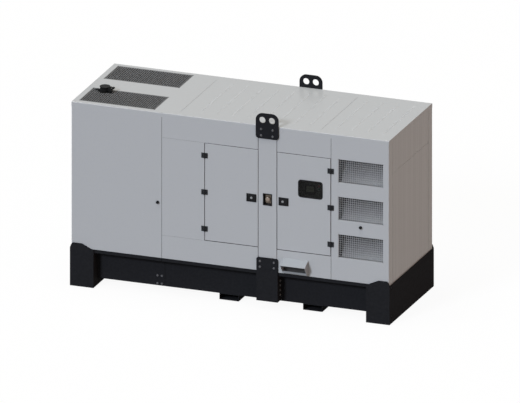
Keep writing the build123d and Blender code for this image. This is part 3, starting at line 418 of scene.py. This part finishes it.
LOOKS = {
    "skid": ("right_foot", "left_foot", "side_rails", "fork_pockets", "deck",
             "lifting_brackets", "lifting_plates", "lifting_posts", "lifting_beam",
             "engine_bearers"),
    "canopy": ("front_end_panel", "front_fixed_panel", "front_headers", "front_sills",
               "front_post", "front_inlet_wall", "back_wall", "back_inlet_wall", "end_walls",
               "roof_outlet_section", "roof_centre", "roof_right", "left_door", "right_door"),
    "canopy_plain": ("back_doors", "inlet_grilles", "door_frames"),
    "hood": ("cable_hoods",),
    "mesh": ("roof_grilles",),
    "plastic": ("left_latch", "right_latch", "left_paddle", "right_paddle", "stop_housing",
                "panel_knobs", "back_door_fittings", "fan"),
    "hinge": ("hinge_wall_leaves", "left_door_hinges", "right_door_hinges"),
    "bronze": ("stop_button",),
    "exhaust": ("silencer",),
    "cap": ("rain_cap",),
    "engine": ("engine", "alternator"),
    "core": ("radiator",),
    "lining": ("bulkhead", "inlet_splitters"),
    "cabinet": ("control_cabinet",),
    "panel": ("control_panel",),
    "glass": ("door_window",),
}


def dress_nodes():
    """Give every CAD node its material."""
    for look, names in LOOKS.items():
        for name in names:
            slots = nodes[name].data.materials
            slots.clear()
            slots.append(MATERIALS[look])


# Mesh helpers

def piece(name, builder, look, body, smooth=False):
    """A new object from a bmesh that rides on a body."""
    mesh = bpy.data.meshes.new(name)
    builder.to_mesh(mesh)
    builder.free()
    for polygon in mesh.polygons:
        polygon.use_smooth = smooth
    thing = bpy.data.objects.new(name, mesh)
    bpy.context.scene.collection.objects.link(thing)
    mesh.materials.append(MATERIALS[look])
    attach(thing, body)
    return thing


def add_box(builder, low, high):
    """A box between two corners."""
    low, high = Vector(low), Vector(high)
    size = high - low
    place = Matrix.Translation((low + high) / 2) @ Matrix.Diagonal((*size, 1))
    bmesh.ops.create_cube(builder, size=1.0, matrix=place)


def add_disc(builder, place, axis, radius, length, sides=24, top=None):
    """A round bar that starts at place and runs along axis; top is its far radius."""
    axis = Vector(axis).normalized()
    turn = axis.to_track_quat("Z", "Y").to_matrix().to_4x4()
    middle = Matrix.Translation(Vector(place) + axis * length / 2) @ turn
    bmesh.ops.create_cone(builder, cap_ends=True, segments=sides, radius1=radius,
                          radius2=radius if top is None else top, depth=length, matrix=middle)


def circle(builder, middle, turn, radius, sides):
    """A loop of vertices round middle, in the plane that turn gives."""
    return [builder.verts.new(middle + turn @ Vector((math.cos(angle), math.sin(angle), 0.0))
                              * radius)
            for angle in (2 * math.pi * k / sides for k in range(sides))]


def skin(builder, loops, closed=False, ends=False):
    """Faces from loop to loop, and from the last to the first or over both ends."""
    faces = [builder.faces.new(loop) for loop in (loops[0], loops[-1])] if ends else []
    for loop, other in zip(loops, loops[1:] + loops[:1] if closed else loops[1:]):
        for k in range(len(loop)):
            j = (k + 1) % len(loop)
            faces.append(builder.faces.new((loop[k], loop[j], other[j], other[k])))
    bmesh.ops.recalc_face_normals(builder, faces=faces)


def add_tube(builder, place, axis, inner, outer, length, sides=48):
    """A ring or sleeve that starts at place and runs along axis."""
    axis = Vector(axis).normalized()
    turn = axis.to_track_quat("Z", "Y").to_matrix()
    section = ((0.0, inner), (0.0, outer), (length, outer), (length, inner))
    skin(builder, [circle(builder, Vector(place) + axis * distance, turn, radius, sides)
                   for distance, radius in section], closed=True)


def add_lathe(builder, place, axis, profile, sides=32):
    """A turned solid; profile gives (distance along the axis, radius) from end to end."""
    axis = Vector(axis).normalized()
    turn = axis.to_track_quat("Z", "Y").to_matrix()
    rings = []
    for distance, radius in profile:
        middle = Vector(place) + axis * distance
        if radius < 1e-6:
            rings.append([builder.verts.new(middle)])
        else:
            rings.append(circle(builder, middle, turn, radius, sides))
    faces = []
    for ring, following in zip(rings, rings[1:]):
        for k in range(sides):
            j = (k + 1) % sides
            if len(ring) == 1:
                faces.append(builder.faces.new((ring[0], following[k], following[j])))
            elif len(following) == 1:
                faces.append(builder.faces.new((ring[k], following[0], ring[j])))
            else:
                faces.append(builder.faces.new((ring[k], following[k], following[j], ring[j])))
    for ring in (rings[0], rings[-1]):
        if len(ring) > 1:
            faces.append(builder.faces.new(ring))
    bmesh.ops.recalc_face_normals(builder, faces=faces)


def add_bolt(builder, place, axis, across=BOLT_ACROSS, head=BOLT_HEAD):
    """A washer and a hexagon head on it."""
    axis = Vector(axis).normalized()
    scale = across / BOLT_ACROSS
    washer = WASHER_THICKNESS * scale
    add_disc(builder, place, axis, WASHER_RADIUS * scale, washer)
    seat = Vector(place) + axis * washer
    corner = across / math.sqrt(3)
    add_disc(builder, seat, axis, corner, head * 0.75, sides=6)
    add_disc(builder, seat + axis * head * 0.75, axis, corner, head * 0.25, sides=6,
             top=corner * 0.82)


# Inlet mesh

def add_square_mesh(builder, low, high, side):
    """Upright square mesh in its rim, filling an inlet opening."""
    y0, y1 = low[1], high[1]
    middle = (y0 + y1) / 2
    half = MESH_DEPTH / 2
    columns = round((high[0] - low[0]) / MESH_PITCH)
    rows = round((high[2] - low[2]) / MESH_PITCH)
    for k in range(1, columns):
        x = low[0] + (high[0] - low[0]) * k / columns
        add_box(builder, (x - MESH_BAR / 2, middle - half, low[2]),
                (x + MESH_BAR / 2, middle + half, high[2]))
    for k in range(1, rows):
        z = low[2] + (high[2] - low[2]) * k / rows
        shift = side * MESH_DEPTH / 4
        add_box(builder, (low[0], middle - half + shift, z - MESH_BAR / 2),
                (high[0], middle + half + shift, z + MESH_BAR / 2))
    for x in (low[0], high[0] - MESH_RIM):
        add_box(builder, (x, y0, low[2]), (x + MESH_RIM, y1, high[2]))
    for z in (low[2], high[2] - MESH_RIM):
        add_box(builder, (low[0], y0, z), (high[0], y1, z + MESH_RIM))


def inlet_mesh():
    builder = bmesh.new()
    for low, high in solids_of("inlet_grilles"):
        add_square_mesh(builder, low, high, side_of(low))
    mesh = piece("inlet_mesh", builder, "canopy_plain", "generator")
    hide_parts("inlet_grilles")


def inlet_deflectors():
    """In each inlet a folded sheet: a sill behind the mesh, then a slope up to the splitter."""
    builder = bmesh.new()
    splitter = min(-low[1] for low, high in solids_of("inlet_splitters") if low[1] < 0)
    for low, high in solids_of("inlet_grilles"):
        side = side_of(low)
        front = min(abs(low[1]), abs(high[1])) - DEFLECTOR_GAP
        bend = front - DEFLECTOR_SILL
        top = high[2] + DEFLECTOR_RISE
        outline = [(front, low[2] + 0.001), (bend, low[2] + 0.001), (splitter + 0.003, top),
                   (splitter + 0.003, top + DEFLECTOR_SHEET),
                   (bend, low[2] + 0.001 + DEFLECTOR_SHEET),
                   (front, low[2] + 0.001 + DEFLECTOR_SHEET)]
        rings = [[builder.verts.new((x, side * y, z)) for y, z in outline]
                 for x in (low[0] + DEFLECTOR_SIDE, high[0] - 0.001)]
        skin(builder, rings, ends=True)
    piece("inlet_deflectors", builder, "deflector", "generator")


# Roof mesh

def outside_circle(start, end, middle, radius):
    """The parts of a segment outside a circle."""
    run = end - start
    length = run.length
    way = run / length
    near = (middle - start).dot(way)
    off = ((middle - start) - way * near).length
    if off >= radius:
        return [(start, end)]
    half = math.sqrt(radius * radius - off * off)
    parts = []
    if near - half > 0:
        parts.append((start, start + way * min(near - half, length)))
    if near + half < length:
        parts.append((start + way * max(near + half, 0.0), end))
    return parts


def add_level_mesh(builder, low, high, hole, radius):
    """Level square mesh, clear of the stack's hole, in a plain rim."""
    columns = round((high[0] - low[0]) / ROOF_PITCH)
    rows = round((high[1] - low[1]) / ROOF_PITCH)
    lines = []
    for k in range(1, columns):
        x = low[0] + (high[0] - low[0]) * k / columns
        lines.append((Vector((x, low[1])), Vector((x, high[1])), ROOF_BAR, 0.0))
    for k in range(1, rows):
        y = low[1] + (high[1] - low[1]) * k / rows
        lines.append((Vector((low[0], y)), Vector((high[0], y)), ROOF_WIRE, ROOF_DEPTH / 3))
    for start, end, width, drop in lines:
        for a, b in outside_circle(start, end, hole, radius):
            middle = (a + b) / 2
            size = (b - a) / 2
            reach = Vector((max(size.x, width / 2), max(size.y, width / 2)))
            top = high[2] - ROOF_SINK - drop
            add_box(builder, (middle.x - reach.x, middle.y - reach.y, top - ROOF_DEPTH),
                    (middle.x + reach.x, middle.y + reach.y, top))
    for x in (low[0], high[0] - ROOF_RIM):
        add_box(builder, (x, low[1], low[2]), (x + ROOF_RIM, high[1], high[2]))
    for y in (low[1], high[1] - ROOF_RIM):
        add_box(builder, (low[0], y, low[2]), (high[0], y + ROOF_RIM, high[2]))


def roof_mesh():
    builder = bmesh.new()
    for low, high in solids_of("roof_grilles"):
        add_level_mesh(builder, low, high, stack_axis(), STACK_WAY)
    mesh = piece("roof_mesh", builder, "mesh", "generator")
    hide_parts("roof_grilles")


def stack_clamp():
    """Band clamp round the stack with its two lugs, and a flange in the roof under it."""
    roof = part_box("roof_outlet_section")[1][2]
    axis = Vector((*stack_axis(), roof))
    builder = bmesh.new()
    add_tube(builder, axis + Vector((0, 0, 0.010)), (0, 0, 1), CLAMP_BORE, 0.0575, 0.020)
    add_tube(builder, axis + Vector((0, 0, -0.004)), (0, 0, 1), CLAMP_BORE, 0.0800, 0.004)
    add_box(builder, (axis.x + 0.046, axis.y - 0.038, roof + 0.008),
            (axis.x + 0.100, axis.y - 0.022, roof + 0.046))
    add_box(builder, (axis.x - 0.104, axis.y - 0.016, roof + 0.002),
            (axis.x - 0.055, axis.y + 0.016, roof + 0.012))
    piece("stack_clamp", builder, "cap", "generator")


# Bolts

def mirrored(places):
    """Each place and its mirror image on the other side, with outward axes."""
    both = []
    for place, axis in places:
        both.append((place, axis))
        both.append(((place[0], -place[1], place[2]), (axis[0], -axis[1], axis[2])))
    return both


def plate_bolts():
    """Bolts on the lifting plates, the brackets below, the rails' joints and the end plates."""
    low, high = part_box("lifting_plates")
    middle = (low[0] + high[0]) / 2
    places = []
    for side in (-1, 1):
        for rise in (0.035, 0.109):
            places.append(((middle + side * 0.069, low[1], low[2] + rise), (0, -1, 0)))
    low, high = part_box("lifting_brackets")
    for side in (-1, 1):
        for drop in (0.043, 0.109):
            places.append(((middle + side * 0.083, low[1], high[2] - drop), (0, -1, 0)))
    for z in (0.170, 0.226, 0.283, 0.340):
        places.append(((high[0], low[1] + 0.075, z), (1, 0, 0)))
    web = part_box("fork_pockets")[0][1]
    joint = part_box("front_end_panel")[1][0]
    for x in (joint - 0.089, joint - 0.037):
        for z in (0.200, 0.107):
            places.append(((x, web, z), (0, -1, 0)))
    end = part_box("right_foot")[1][0]
    for z in (0.421, 0.084):
        places.append(((end, -0.632, z), (1, 0, 0)))
        places.append(((-end, -0.632, z), (-1, 0, 0)))
    return mirrored(places)


def bolts():
    builder = bmesh.new()
    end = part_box("right_foot")[1][0]
    for place, axis in plate_bolts():
        if abs(abs(place[0]) - end) < 1e-4:
            add_sunk_screw(builder, place, axis, 0.011)
        else:
            add_bolt(builder, place, axis)
    piece("plate_bolts", builder, "bolt", "generator")


def add_sunk_screw(builder, place, axis, radius):
    """A flat screw head, level with its plate but for a low crown."""
    axis = Vector(axis)
    inner = Vector(place) - axis * SCREW_CROWN
    add_disc(builder, inner, axis, radius, SCREW_CROWN, sides=20, top=radius * 0.96)


# Control window

def rounded_outline(low, high, radius, inset, steps=8):
    """Points of a rounded rectangle in X and Z."""
    radius = max(radius - inset, 0.001)
    points = []
    corners = ((high[0] - inset - radius, high[2] - inset - radius, 0),
               (low[0] + inset + radius, high[2] - inset - radius, 90),
               (low[0] + inset + radius, low[2] + inset + radius, 180),
               (high[0] - inset - radius, low[2] + inset + radius, 270))
    for x, z, start in corners:
        for k in range(steps + 1):
            angle = math.radians(start + 90 * k / steps)
            points.append((x + radius * math.cos(angle), z + radius * math.sin(angle)))
    return points


def add_rim(builder, low, high, corner, profile):
    """A closed rim swept round a rounded rectangle; profile gives (inset, y) points."""
    rings = []
    for inset, y in profile:
        outline = rounded_outline(low, high, corner, inset)
        rings.append([builder.verts.new((x, y, z)) for x, z in outline])
    skin(builder, rings, closed=True)


def control_window():
    low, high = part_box("door_window")
    builder = bmesh.new()
    profile = [(0.0, low[1] + 0.0015), (0.0015, low[1]), (0.0095, low[1]), (0.012, low[1] + 0.003),
               (0.012, high[1]), (0.0, high[1])]
    add_rim(builder, low, high, WINDOW_CORNER, profile)
    rim = piece("window_rim", builder, "rubber", "right_door_body")
    builder = bmesh.new()
    face = low[1] + 0.003
    outline = rounded_outline(low, high, WINDOW_CORNER, 0.0115)
    skin(builder, [[builder.verts.new((x, y, z)) for x, z in outline]
                   for y in (face, face + 0.006)], ends=True)
    pane = piece("window_pane", builder, "glass", "right_door_body")
    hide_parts("door_window")
    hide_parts("door_window")


def panel_fittings():
    """Screen, keys, a stop and a start button and a key switch on the control panel, all plain."""
    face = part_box("control_panel")[0][1]
    middle = centre("door_window")
    x, z = middle.x - PANEL_SHIFT, middle.z - PANEL_SHIFT
    builder = bmesh.new()
    add_box(builder, (x - 0.062, face - 0.005, z - 0.060), (x + 0.062, face, z + 0.056))
    for k in range(5):
        add_lathe(builder, (x - 0.048 + 0.024 * k, face - 0.005, z - 0.046), (0, -1, 0),
                  [(0.0, 0.0070), (0.0020, 0.0070), (0.0028, 0.0060), (0.0028, 0.0)], sides=20)
    piece("panel_frame", builder, "plastic", "generator")
    builder = bmesh.new()
    add_box(builder, (x - 0.046, face - 0.0065, z - 0.026), (x + 0.046, face - 0.005, z + 0.044))
    piece("panel_screen", builder, "screen", "generator")
    for across, up, look in ((0.105, 0.058, "red"), (0.105, 0.018, "green"),
                             (-0.105, -0.045, "alloy")):
        builder = bmesh.new()
        place = (x + across, face, z + up)
        add_tube(builder, place, (0, -1, 0), 0.0125, 0.0165, 0.005, sides=32)
        piece(f"panel_{look}_ring", builder, "alloy", "generator")
        builder = bmesh.new()
        add_lathe(builder, place, (0, -1, 0),
                  [(0.0, 0.0115), (0.010, 0.0110), (0.0125, 0.0090), (0.0130, 0.0)])
        piece(f"panel_{look}_button", builder, look, "generator")


# Latches and emergency stop

def latch_fittings():
    """Key barrels and a grip bar on each paddle."""
    for side, shift in (("left", 0.0), ("right", -0.010)):
        low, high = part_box(f"{side}_paddle")
        x = (low[0] + high[0]) / 2 + shift
        z = (low[2] + high[2]) / 2
        face = low[1] + 0.0028
        body = body_of_node(f"{side}_paddle")
        builder = bmesh.new()
        add_lathe(builder, (x, face, z), (0, -1, 0),
                  [(0.0, 0.0130), (0.0022, 0.0130), (0.0032, 0.0115), (0.0032, 0.0)])
        piece(f"{side}_key", builder, "zinc", body)
        builder = bmesh.new()
        add_box(builder, (x - 0.0016, face - 0.0040, z - 0.008),
                (x + 0.0016, face - 0.0030, z + 0.008))
        bar = high[0] - 0.020
        add_box(builder, (bar - 0.005, face - 0.0012, low[2] + 0.004),
                (bar + 0.005, face + 0.0005, high[2] - 0.012))
        piece(f"{side}_key_slot", builder, "plastic", body)


def stop_fittings():
    """Domed button, and the bronze plate behind it in the cup."""
    low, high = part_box("stop_button")
    middle = ((low[0] + high[0]) / 2, low[1], (low[2] + high[2]) / 2)
    radius = (high[0] - low[0]) / 2
    stem = high[1] - low[1]
    builder = bmesh.new()
    profile = [(0.0, 0.0)]
    for k in range(1, 7):
        angle = math.radians(15 * k)
        profile.append((0.0075 * (1 - math.cos(angle)), radius * math.sin(angle) ** 0.8))
    profile += [(0.0100, radius), (0.0120, radius - 0.002), (0.0120, 0.010), (stem, 0.010)]
    add_lathe(builder, middle, (0, 1, 0), profile, sides=40)
    dome = piece("stop_dome", builder, "bronze", body_of_node("stop_button"),
                 smooth=True)
    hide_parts("stop_button")
    low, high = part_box("stop_housing")
    floor = high[1] - 0.004
    builder = bmesh.new()
    outline = rounded_outline((low[0] + 0.014, 0, low[2] + 0.016),
                              (high[0] - 0.014, 0, high[2] - 0.016), 0.026, 0.0)
    count = len(outline)
    turns = [2 * math.pi * (k + 0.5) / count for k in range(count)]
    way = [(middle[0] + STEM_WAY * math.cos(turn), middle[2] + STEM_WAY * math.sin(turn))
           for turn in turns]
    front = floor - STOP_PLATE
    skin(builder, [[builder.verts.new((x, y, z)) for x, z in points] for points, y in (
        (outline, front), (outline, floor), (way, floor), (way, front))], closed=True)
    piece("stop_plate", builder, "bronze_dark", "generator")


# Cable hoods and hinges

def hood_shade_sheets():
    """Dark sheet at the wall face inside each cable hood: painted shade under the hood."""
    builder = bmesh.new()
    face = -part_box("front_sills")[0][1]
    for low, high in solids_of("cable_hoods"):
        side = side_of(low)
        y0, y1 = sorted((side * face, side * (face + 0.0015)))
        add_box(builder, (low[0] + 0.006, y0, low[2] + 0.006),
                (high[0] - 0.006, y1, high[2] - 0.012))
    piece("hood_shade_sheets", builder, "hood_shade_dark", "generator")


def hinge_screws():
    """Two screws in each solid of the front hinges, on the body that it rides on."""
    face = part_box("front_post")[0][1] - LEAF_THICKNESS
    for node in ("hinge_wall_leaves", "left_door_hinges", "right_door_hinges"):
        builder = bmesh.new()
        for low, high in solids_of(node):
            x = leaf_middle(node, low, high)
            for z in (low[2] + 0.014, high[2] - 0.014):
                add_sunk_screw(builder, (x, face, z), (0, -1, 0), 0.0045)
        piece(f"{node}_screws", builder, "bolt", body_of_node(node))


def leaf_middle(node, low, high):
    """X of the screws: the middle of the leaf's flat, away from the knuckle."""
    if node == "left_door_hinges":
        return high[0] - LEAF_MIDDLE
    if node == "right_door_hinges":
        return low[0] + LEAF_MIDDLE
    left_side = high[0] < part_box("front_post")[0][0]
    return low[0] + LEAF_MIDDLE if left_side else high[0] - LEAF_MIDDLE


# Machinery behind the doors

def smooth_path(points, steps):
    """Points along a smooth curve through the given ones."""
    ends = [points[0] * 2 - points[1]] + points + [points[-1] * 2 - points[-2]]
    path = []
    for a, b, c, d in zip(ends, ends[1:], ends[2:], ends[3:]):
        for k in range(steps):
            t = k / steps
            path.append(0.5 * (2 * b + (c - a) * t + (2 * a - 5 * b + 4 * c - d) * t ** 2
                               + (3 * b - a - 3 * c + d) * t ** 3))
    path.append(points[-1])
    return path


def add_hose(builder, points, radius, sides=16, steps=8):
    """A round hose or cable through points."""
    path = smooth_path([Vector(point) for point in points], steps)
    across = (path[1] - path[0]).orthogonal().normalized()
    rings = []
    for k, place in enumerate(path):
        along = (path[min(k + 1, len(path) - 1)] - path[max(k - 1, 0)]).normalized()
        across = (across - along * across.dot(along)).normalized()
        other = along.cross(across)
        rings.append([builder.verts.new(place + radius * (
            across * math.cos(2 * math.pi * j / sides) + other * math.sin(2 * math.pi * j / sides)))
            for j in range(sides)])
    skin(builder, rings, ends=True)


def fan_guard():
    """Shroud round the fan and a wire guard on its engine side."""
    low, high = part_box("fan")
    axis_z = (low[2] + high[2]) / 2
    radius = (high[2] - low[2]) / 2
    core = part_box("radiator")[1][0]
    builder = bmesh.new()
    add_tube(builder, (core, 0, axis_z), (1, 0, 0), radius + 0.015, radius + 0.018, 0.10, sides=64)
    add_tube(builder, (core, 0, axis_z), (1, 0, 0), radius + 0.015, radius + 0.060, 0.004, sides=64)
    piece("fan_shroud", builder, "plastic", "generator")
    builder = bmesh.new()
    guard_x = core + 0.104
    for k in range(5):
        ring = radius + 0.014 - 0.062 * k
        add_tube(builder, (guard_x, 0, axis_z), (1, 0, 0), ring - 0.004, ring, 0.004, sides=48)
    for k in range(8):
        angle = math.pi * (k + 0.5) / 4
        way = Vector((0, math.cos(angle), math.sin(angle)))
        add_disc(builder, Vector((guard_x + 0.006, 0, axis_z)) + way * (radius - 0.24), way,
                 0.0025, 0.252, sides=8)
    piece("fan_wires", builder, "zinc", "generator")


def belt_drive():
    """Crank, pump and charger pulleys at the engine's front, with their belt."""
    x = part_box("engine")[0][0] - 0.030
    shaft = centre("fan").z
    pulleys = ((0.0, shaft, 0.085), (0.0, shaft + 0.235, 0.060), (-0.165, shaft + 0.205, 0.036))
    builder = bmesh.new()
    for y, z, radius in pulleys:
        add_lathe(builder, (x - 0.004, y, z), (1, 0, 0),
                  [(0.0, radius * 0.5), (0.0, radius * 0.92), (0.003, radius), (0.025, radius),
                   (0.028, radius * 0.92), (0.028, 0.018), (0.040, 0.018)])
    piece("pulleys", builder, "alloy", "generator")
    rim = [(y, z, radius, 2 * math.pi * k / 48) for y, z, radius in pulleys for k in range(48)]
    outer = [Vector((y + (r + 0.006) * math.cos(a), z + (r + 0.006) * math.sin(a)))
             for y, z, r, a in rim]
    inner = [Vector((y + r * math.cos(a), z + r * math.sin(a))) for y, z, r, a in rim]
    order = geometry.convex_hull_2d(outer)
    builder = bmesh.new()
    loops = [[builder.verts.new((x + shift, source[k].x, source[k].y)) for k in order]
             for source, shift in ((outer, 0.002), (outer, 0.018), (inner, 0.018), (inner, 0.002))]
    skin(builder, loops, closed=True)
    piece("belt", builder, "rubber", "generator")


def engine_fittings():
    """Ribs, filters, starter, hoses and bolts on the engine."""
    low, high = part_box("engine")
    side = -ENGINE_HALF_WIDTH
    builder = bmesh.new()
    for k in range(7):
        x = low[0] + 0.070 + CYLINDER_PITCH * k
        add_box(builder, (x - 0.009, side - 0.010, low[2] + 0.090), (x + 0.009, side, BLOCK_TOP))
    add_box(builder, (low[0] + 0.030, side - 0.013, BLOCK_TOP - 0.040),
            (high[0] - 0.030, side, BLOCK_TOP - 0.018))
    piece("block_ribs", builder, "engine", "generator")
    builder = bmesh.new()
    for x in (-0.060, 0.060):
        add_lathe(builder, (x, side - 0.062, 0.840), (0, 0, -1),
                  [(0.0, 0.030), (0.0, 0.046), (0.012, 0.048), (0.150, 0.048), (0.162, 0.040),
                   (0.165, 0.0)])
    piece("oil_filters", builder, "filter", "generator")
    builder = bmesh.new()
    add_box(builder, (-0.120, side - 0.120, 0.838), (0.120, side + 0.002, 0.878))
    add_lathe(builder, (0.215, side - 0.055, 0.745), (-1, 0, 0),
              [(0.0, 0.0), (0.0, 0.040), (0.030, 0.052), (0.170, 0.052), (0.180, 0.044),
               (0.180, 0.0)])
    add_lathe(builder, (0.190, side - 0.055, 0.812), (-1, 0, 0),
              [(0.0, 0.0), (0.0, 0.026), (0.100, 0.026), (0.106, 0.018), (0.106, 0.0)])
    piece("starter", builder, "cast", "generator")
    builder = bmesh.new()
    add_hose(builder, [(-0.712, -0.130, 1.560), (-0.640, -0.130, 1.545), (-0.590, -0.100, 1.440),
                       (-0.560, -0.060, 1.300), (-0.510, -0.050, 1.235)], 0.030)
    add_hose(builder, [(-0.712, -0.300, 0.600), (-0.630, -0.310, 0.590), (-0.560, -0.280, 0.640),
                       (-0.500, -0.232, 0.740)], 0.028)
    add_hose(builder, [(-0.100, side - 0.004, 0.980), (-0.160, side - 0.050, 1.060),
                       (-0.300, side - 0.045, 1.080), (-0.420, side - 0.012, 0.990)], 0.009,
             sides=10)
    add_hose(builder, [(0.150, side - 0.090, 0.812), (0.230, side - 0.120, 0.760),
                       (0.250, side - 0.100, 0.560), (0.250, side - 0.090, 0.460)], 0.010, sides=10)
    piece("hoses", builder, "rubber", "generator", smooth=True)
    builder = bmesh.new()
    for k in range(6):
        x = low[0] + 0.130 + CYLINDER_PITCH * k
        for y in (-0.088, 0.060):
            add_bolt(builder, (x, y, COVER_TOP), (0, 0, 1), across=0.015)
        add_bolt(builder, (x, -MANIFOLD_REACH, MANIFOLD_MIDDLE), (0, -1, 0), across=0.015)
    piece("engine_bolts", builder, "bolt", "generator")


def silencer_bands():
    """Straps round the silencer's drum and a bolted flange on its pipe."""
    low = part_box("silencer")[0]
    builder = bmesh.new()
    for x in (low[0] + 0.140, low[0] + 0.560):
        add_tube(builder, (x, DRUM_Y, DRUM_Z), (1, 0, 0), DRUM_RADIUS, DRUM_RADIUS + 0.003, 0.030,
                 sides=48)
    add_tube(builder, (DRUM_END + 0.050, DRUM_Y - 0.050, DRUM_Z), (1, 0, 0), 0.0455, 0.072, 0.012,
             sides=36)
    piece("silencer_bands", builder, "zinc", "generator")


def cabinet_fittings():
    """The cabinet's two leaves, its breaker and locks, and the cables up from the alternator."""
    low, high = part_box("control_cabinet")
    panel_low, panel_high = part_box("control_panel")
    face = low[1]
    builder = bmesh.new()
    bottom = panel_low[2] - 0.040
    add_box(builder, (low[0] + 0.018, face - 0.004, low[2] + 0.020),
            (high[0] - 0.018, face, bottom))
    add_box(builder, (low[0] + 0.018, face - 0.004, panel_high[2] + 0.040),
            (high[0] - 0.018, face, high[2] - 0.020))
    piece("cabinet_leaves", builder, "cabinet", "generator")
    builder = bmesh.new()
    middle = (low[0] + high[0]) / 2
    add_box(builder, (middle - 0.075, face - 0.014, low[2] + 0.040),
            (middle + 0.075, face - 0.004, low[2] + 0.115))
    add_box(builder, (middle - 0.014, face - 0.034, low[2] + 0.066),
            (middle + 0.014, face - 0.014, low[2] + 0.100))
    for x in (low[0] + 0.034, high[0] - 0.034):
        add_lathe(builder, (x, face - 0.004, bottom - 0.030), (0, -1, 0),
                  [(0.0, 0.011), (0.006, 0.011), (0.008, 0.009), (0.008, 0.0)], sides=20)
    piece("breaker", builder, "plastic", "generator")
    builder = bmesh.new()
    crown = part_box("alternator")[1][2]
    for k in range(3):
        x = middle - 0.10 + 0.045 * k
        add_hose(builder, [(x + 0.05, -0.150, crown - 0.030), (x + 0.05, -0.200, crown + 0.020),
                           (x + 0.02, -0.330, crown + 0.030), (x, -0.440, low[2] - 0.040),
                           (x, -0.480, low[2] + 0.004)], 0.015, sides=12)
    piece("power_cables", builder, "rubber", "generator", smooth=True)


# Stage, light and camera

FLOOR = 0.25              # grey that the floor throws light back with
FLOOR_SHARE = 0.93        # of the floor that is plain white to the camera
AMBIENT = (0.240, 0.232, 0.228)


def seen_as_background(tree):
    """1 for camera rays, also through glass and in reflections, else 0."""
    path = tree.nodes.new("ShaderNodeLightPath")
    seen = path.outputs["Is Camera Ray"]
    for kind in ("Is Transmission Ray", "Is Glossy Ray"):
        either = tree.nodes.new("ShaderNodeMath")
        either.operation = "MAXIMUM"
        tree.links.new(seen, either.inputs[0])
        tree.links.new(path.outputs[kind], either.inputs[1])
        seen = either.outputs[0]
    return seen


def blend_shaders(tree, factor, first, second):
    """Two shaders mixed by a factor, which may be a plain number."""
    blend = tree.nodes.new("ShaderNodeMixShader")
    if isinstance(factor, float):
        blend.inputs["Fac"].default_value = factor
    else:
        tree.links.new(factor, blend.inputs["Fac"])
    tree.links.new(first, blend.inputs[1])
    tree.links.new(second, blend.inputs[2])
    return blend.outputs["Shader"]


def plain_diffuse(tree, level):
    node = tree.nodes.new("ShaderNodeBsdfDiffuse")
    node.inputs["Color"].default_value = (level, level, level, 1)
    return node.outputs["BSDF"]


def stage():
    """A floor that looks white with a faint shadow, and lights the machine as a mid grey."""
    builder = bmesh.new()
    bmesh.ops.create_grid(builder, x_segments=1, y_segments=1, size=60.0,
                          matrix=Matrix.Translation((0, 0, -0.0005)))
    mesh = bpy.data.meshes.new("floor")
    builder.to_mesh(mesh)
    builder.free()
    floor = bpy.data.objects.new("floor", mesh)
    bpy.context.scene.collection.objects.link(floor)
    material = bpy.data.materials.new("floor_white")
    material.use_nodes = True
    tree = material.node_tree
    tree.nodes.remove(tree.nodes["Principled BSDF"])
    glow = tree.nodes.new("ShaderNodeEmission")
    glow.inputs["Color"].default_value = (1, 1, 1, 1)
    pale = blend_shaders(tree, FLOOR_SHARE, plain_diffuse(tree, 0.92), glow.outputs["Emission"])
    both = blend_shaders(tree, seen_as_background(tree), plain_diffuse(tree, FLOOR), pale)
    tree.links.new(both, tree.nodes["Material Output"].inputs["Surface"])
    mesh.materials.append(material)


def world():
    """Even grey surroundings that look white, also through glass and in reflections."""
    surroundings = bpy.data.worlds.new("studio")
    bpy.context.scene.world = surroundings
    surroundings.use_nodes = True
    tree = surroundings.node_tree
    ambient = tree.nodes["Background"]
    ambient.inputs["Color"].default_value = (*AMBIENT, 1)
    white = tree.nodes.new("ShaderNodeBackground")
    white.inputs["Color"].default_value = (1, 1, 1, 1)
    shown = blend_shaders(tree, seen_as_background(tree), ambient.outputs["Background"],
                          white.outputs["Background"])
    tree.links.new(shown, tree.nodes["World Output"].inputs["Surface"])


def sun(name, direction, strength, colour, angle):
    """A soft far lamp that shines along direction."""
    lamp = bpy.data.lights.new(name, "SUN")
    lamp.energy = strength
    lamp.color = colour
    lamp.angle = math.radians(angle)
    thing = bpy.data.objects.new(name, lamp)
    thing.rotation_mode = "QUATERNION"
    thing.rotation_quaternion = Vector(direction).to_track_quat("-Z", "Y")
    bpy.context.scene.collection.objects.link(thing)


def lights():
    sun("front", (0.30, 0.80, -0.45), 2.09, (0.815, 0.870, 1.0), 14)
    sun("top", (0.10, 0.10, -1.00), 1.71, (1.0, 0.99, 0.920), 50)
    sun("end", (-1.00, 0.20, -0.15), 0.52, (1.0, 0.45, 0.18), 40)


def camera():
    data = bpy.data.cameras.new("camera")
    data.type = "ORTHO"
    data.ortho_scale = VIEW_WIDTH
    data.clip_end = 100.0
    back = Vector((math.cos(VIEW_ELEVATION) * math.sin(VIEW_AZIMUTH),
                   -math.cos(VIEW_ELEVATION) * math.cos(VIEW_AZIMUTH),
                   math.sin(VIEW_ELEVATION)))
    right = Vector((math.cos(VIEW_AZIMUTH), math.sin(VIEW_AZIMUTH), 0.0))
    up = back.cross(right)
    thing = bpy.data.objects.new("camera", data)
    thing.matrix_world = Matrix.Translation(VIEW_CENTRE + back * VIEW_DISTANCE) @ Matrix(
        (right, up, back)).transposed().to_4x4()
    bpy.context.scene.collection.objects.link(thing)
    bpy.context.scene.camera = thing


bpy.context.scene.view_settings.view_transform = "Standard"
dress_nodes()
inlet_mesh()
inlet_deflectors()
roof_mesh()
stack_clamp()
bolts()
control_window()
panel_fittings()
latch_fittings()
stop_fittings()
hinge_screws()
hood_shade_sheets()
fan_guard()
belt_drive()
engine_fittings()
silencer_bands()
cabinet_fittings()
stage()
world()
lights()
camera()
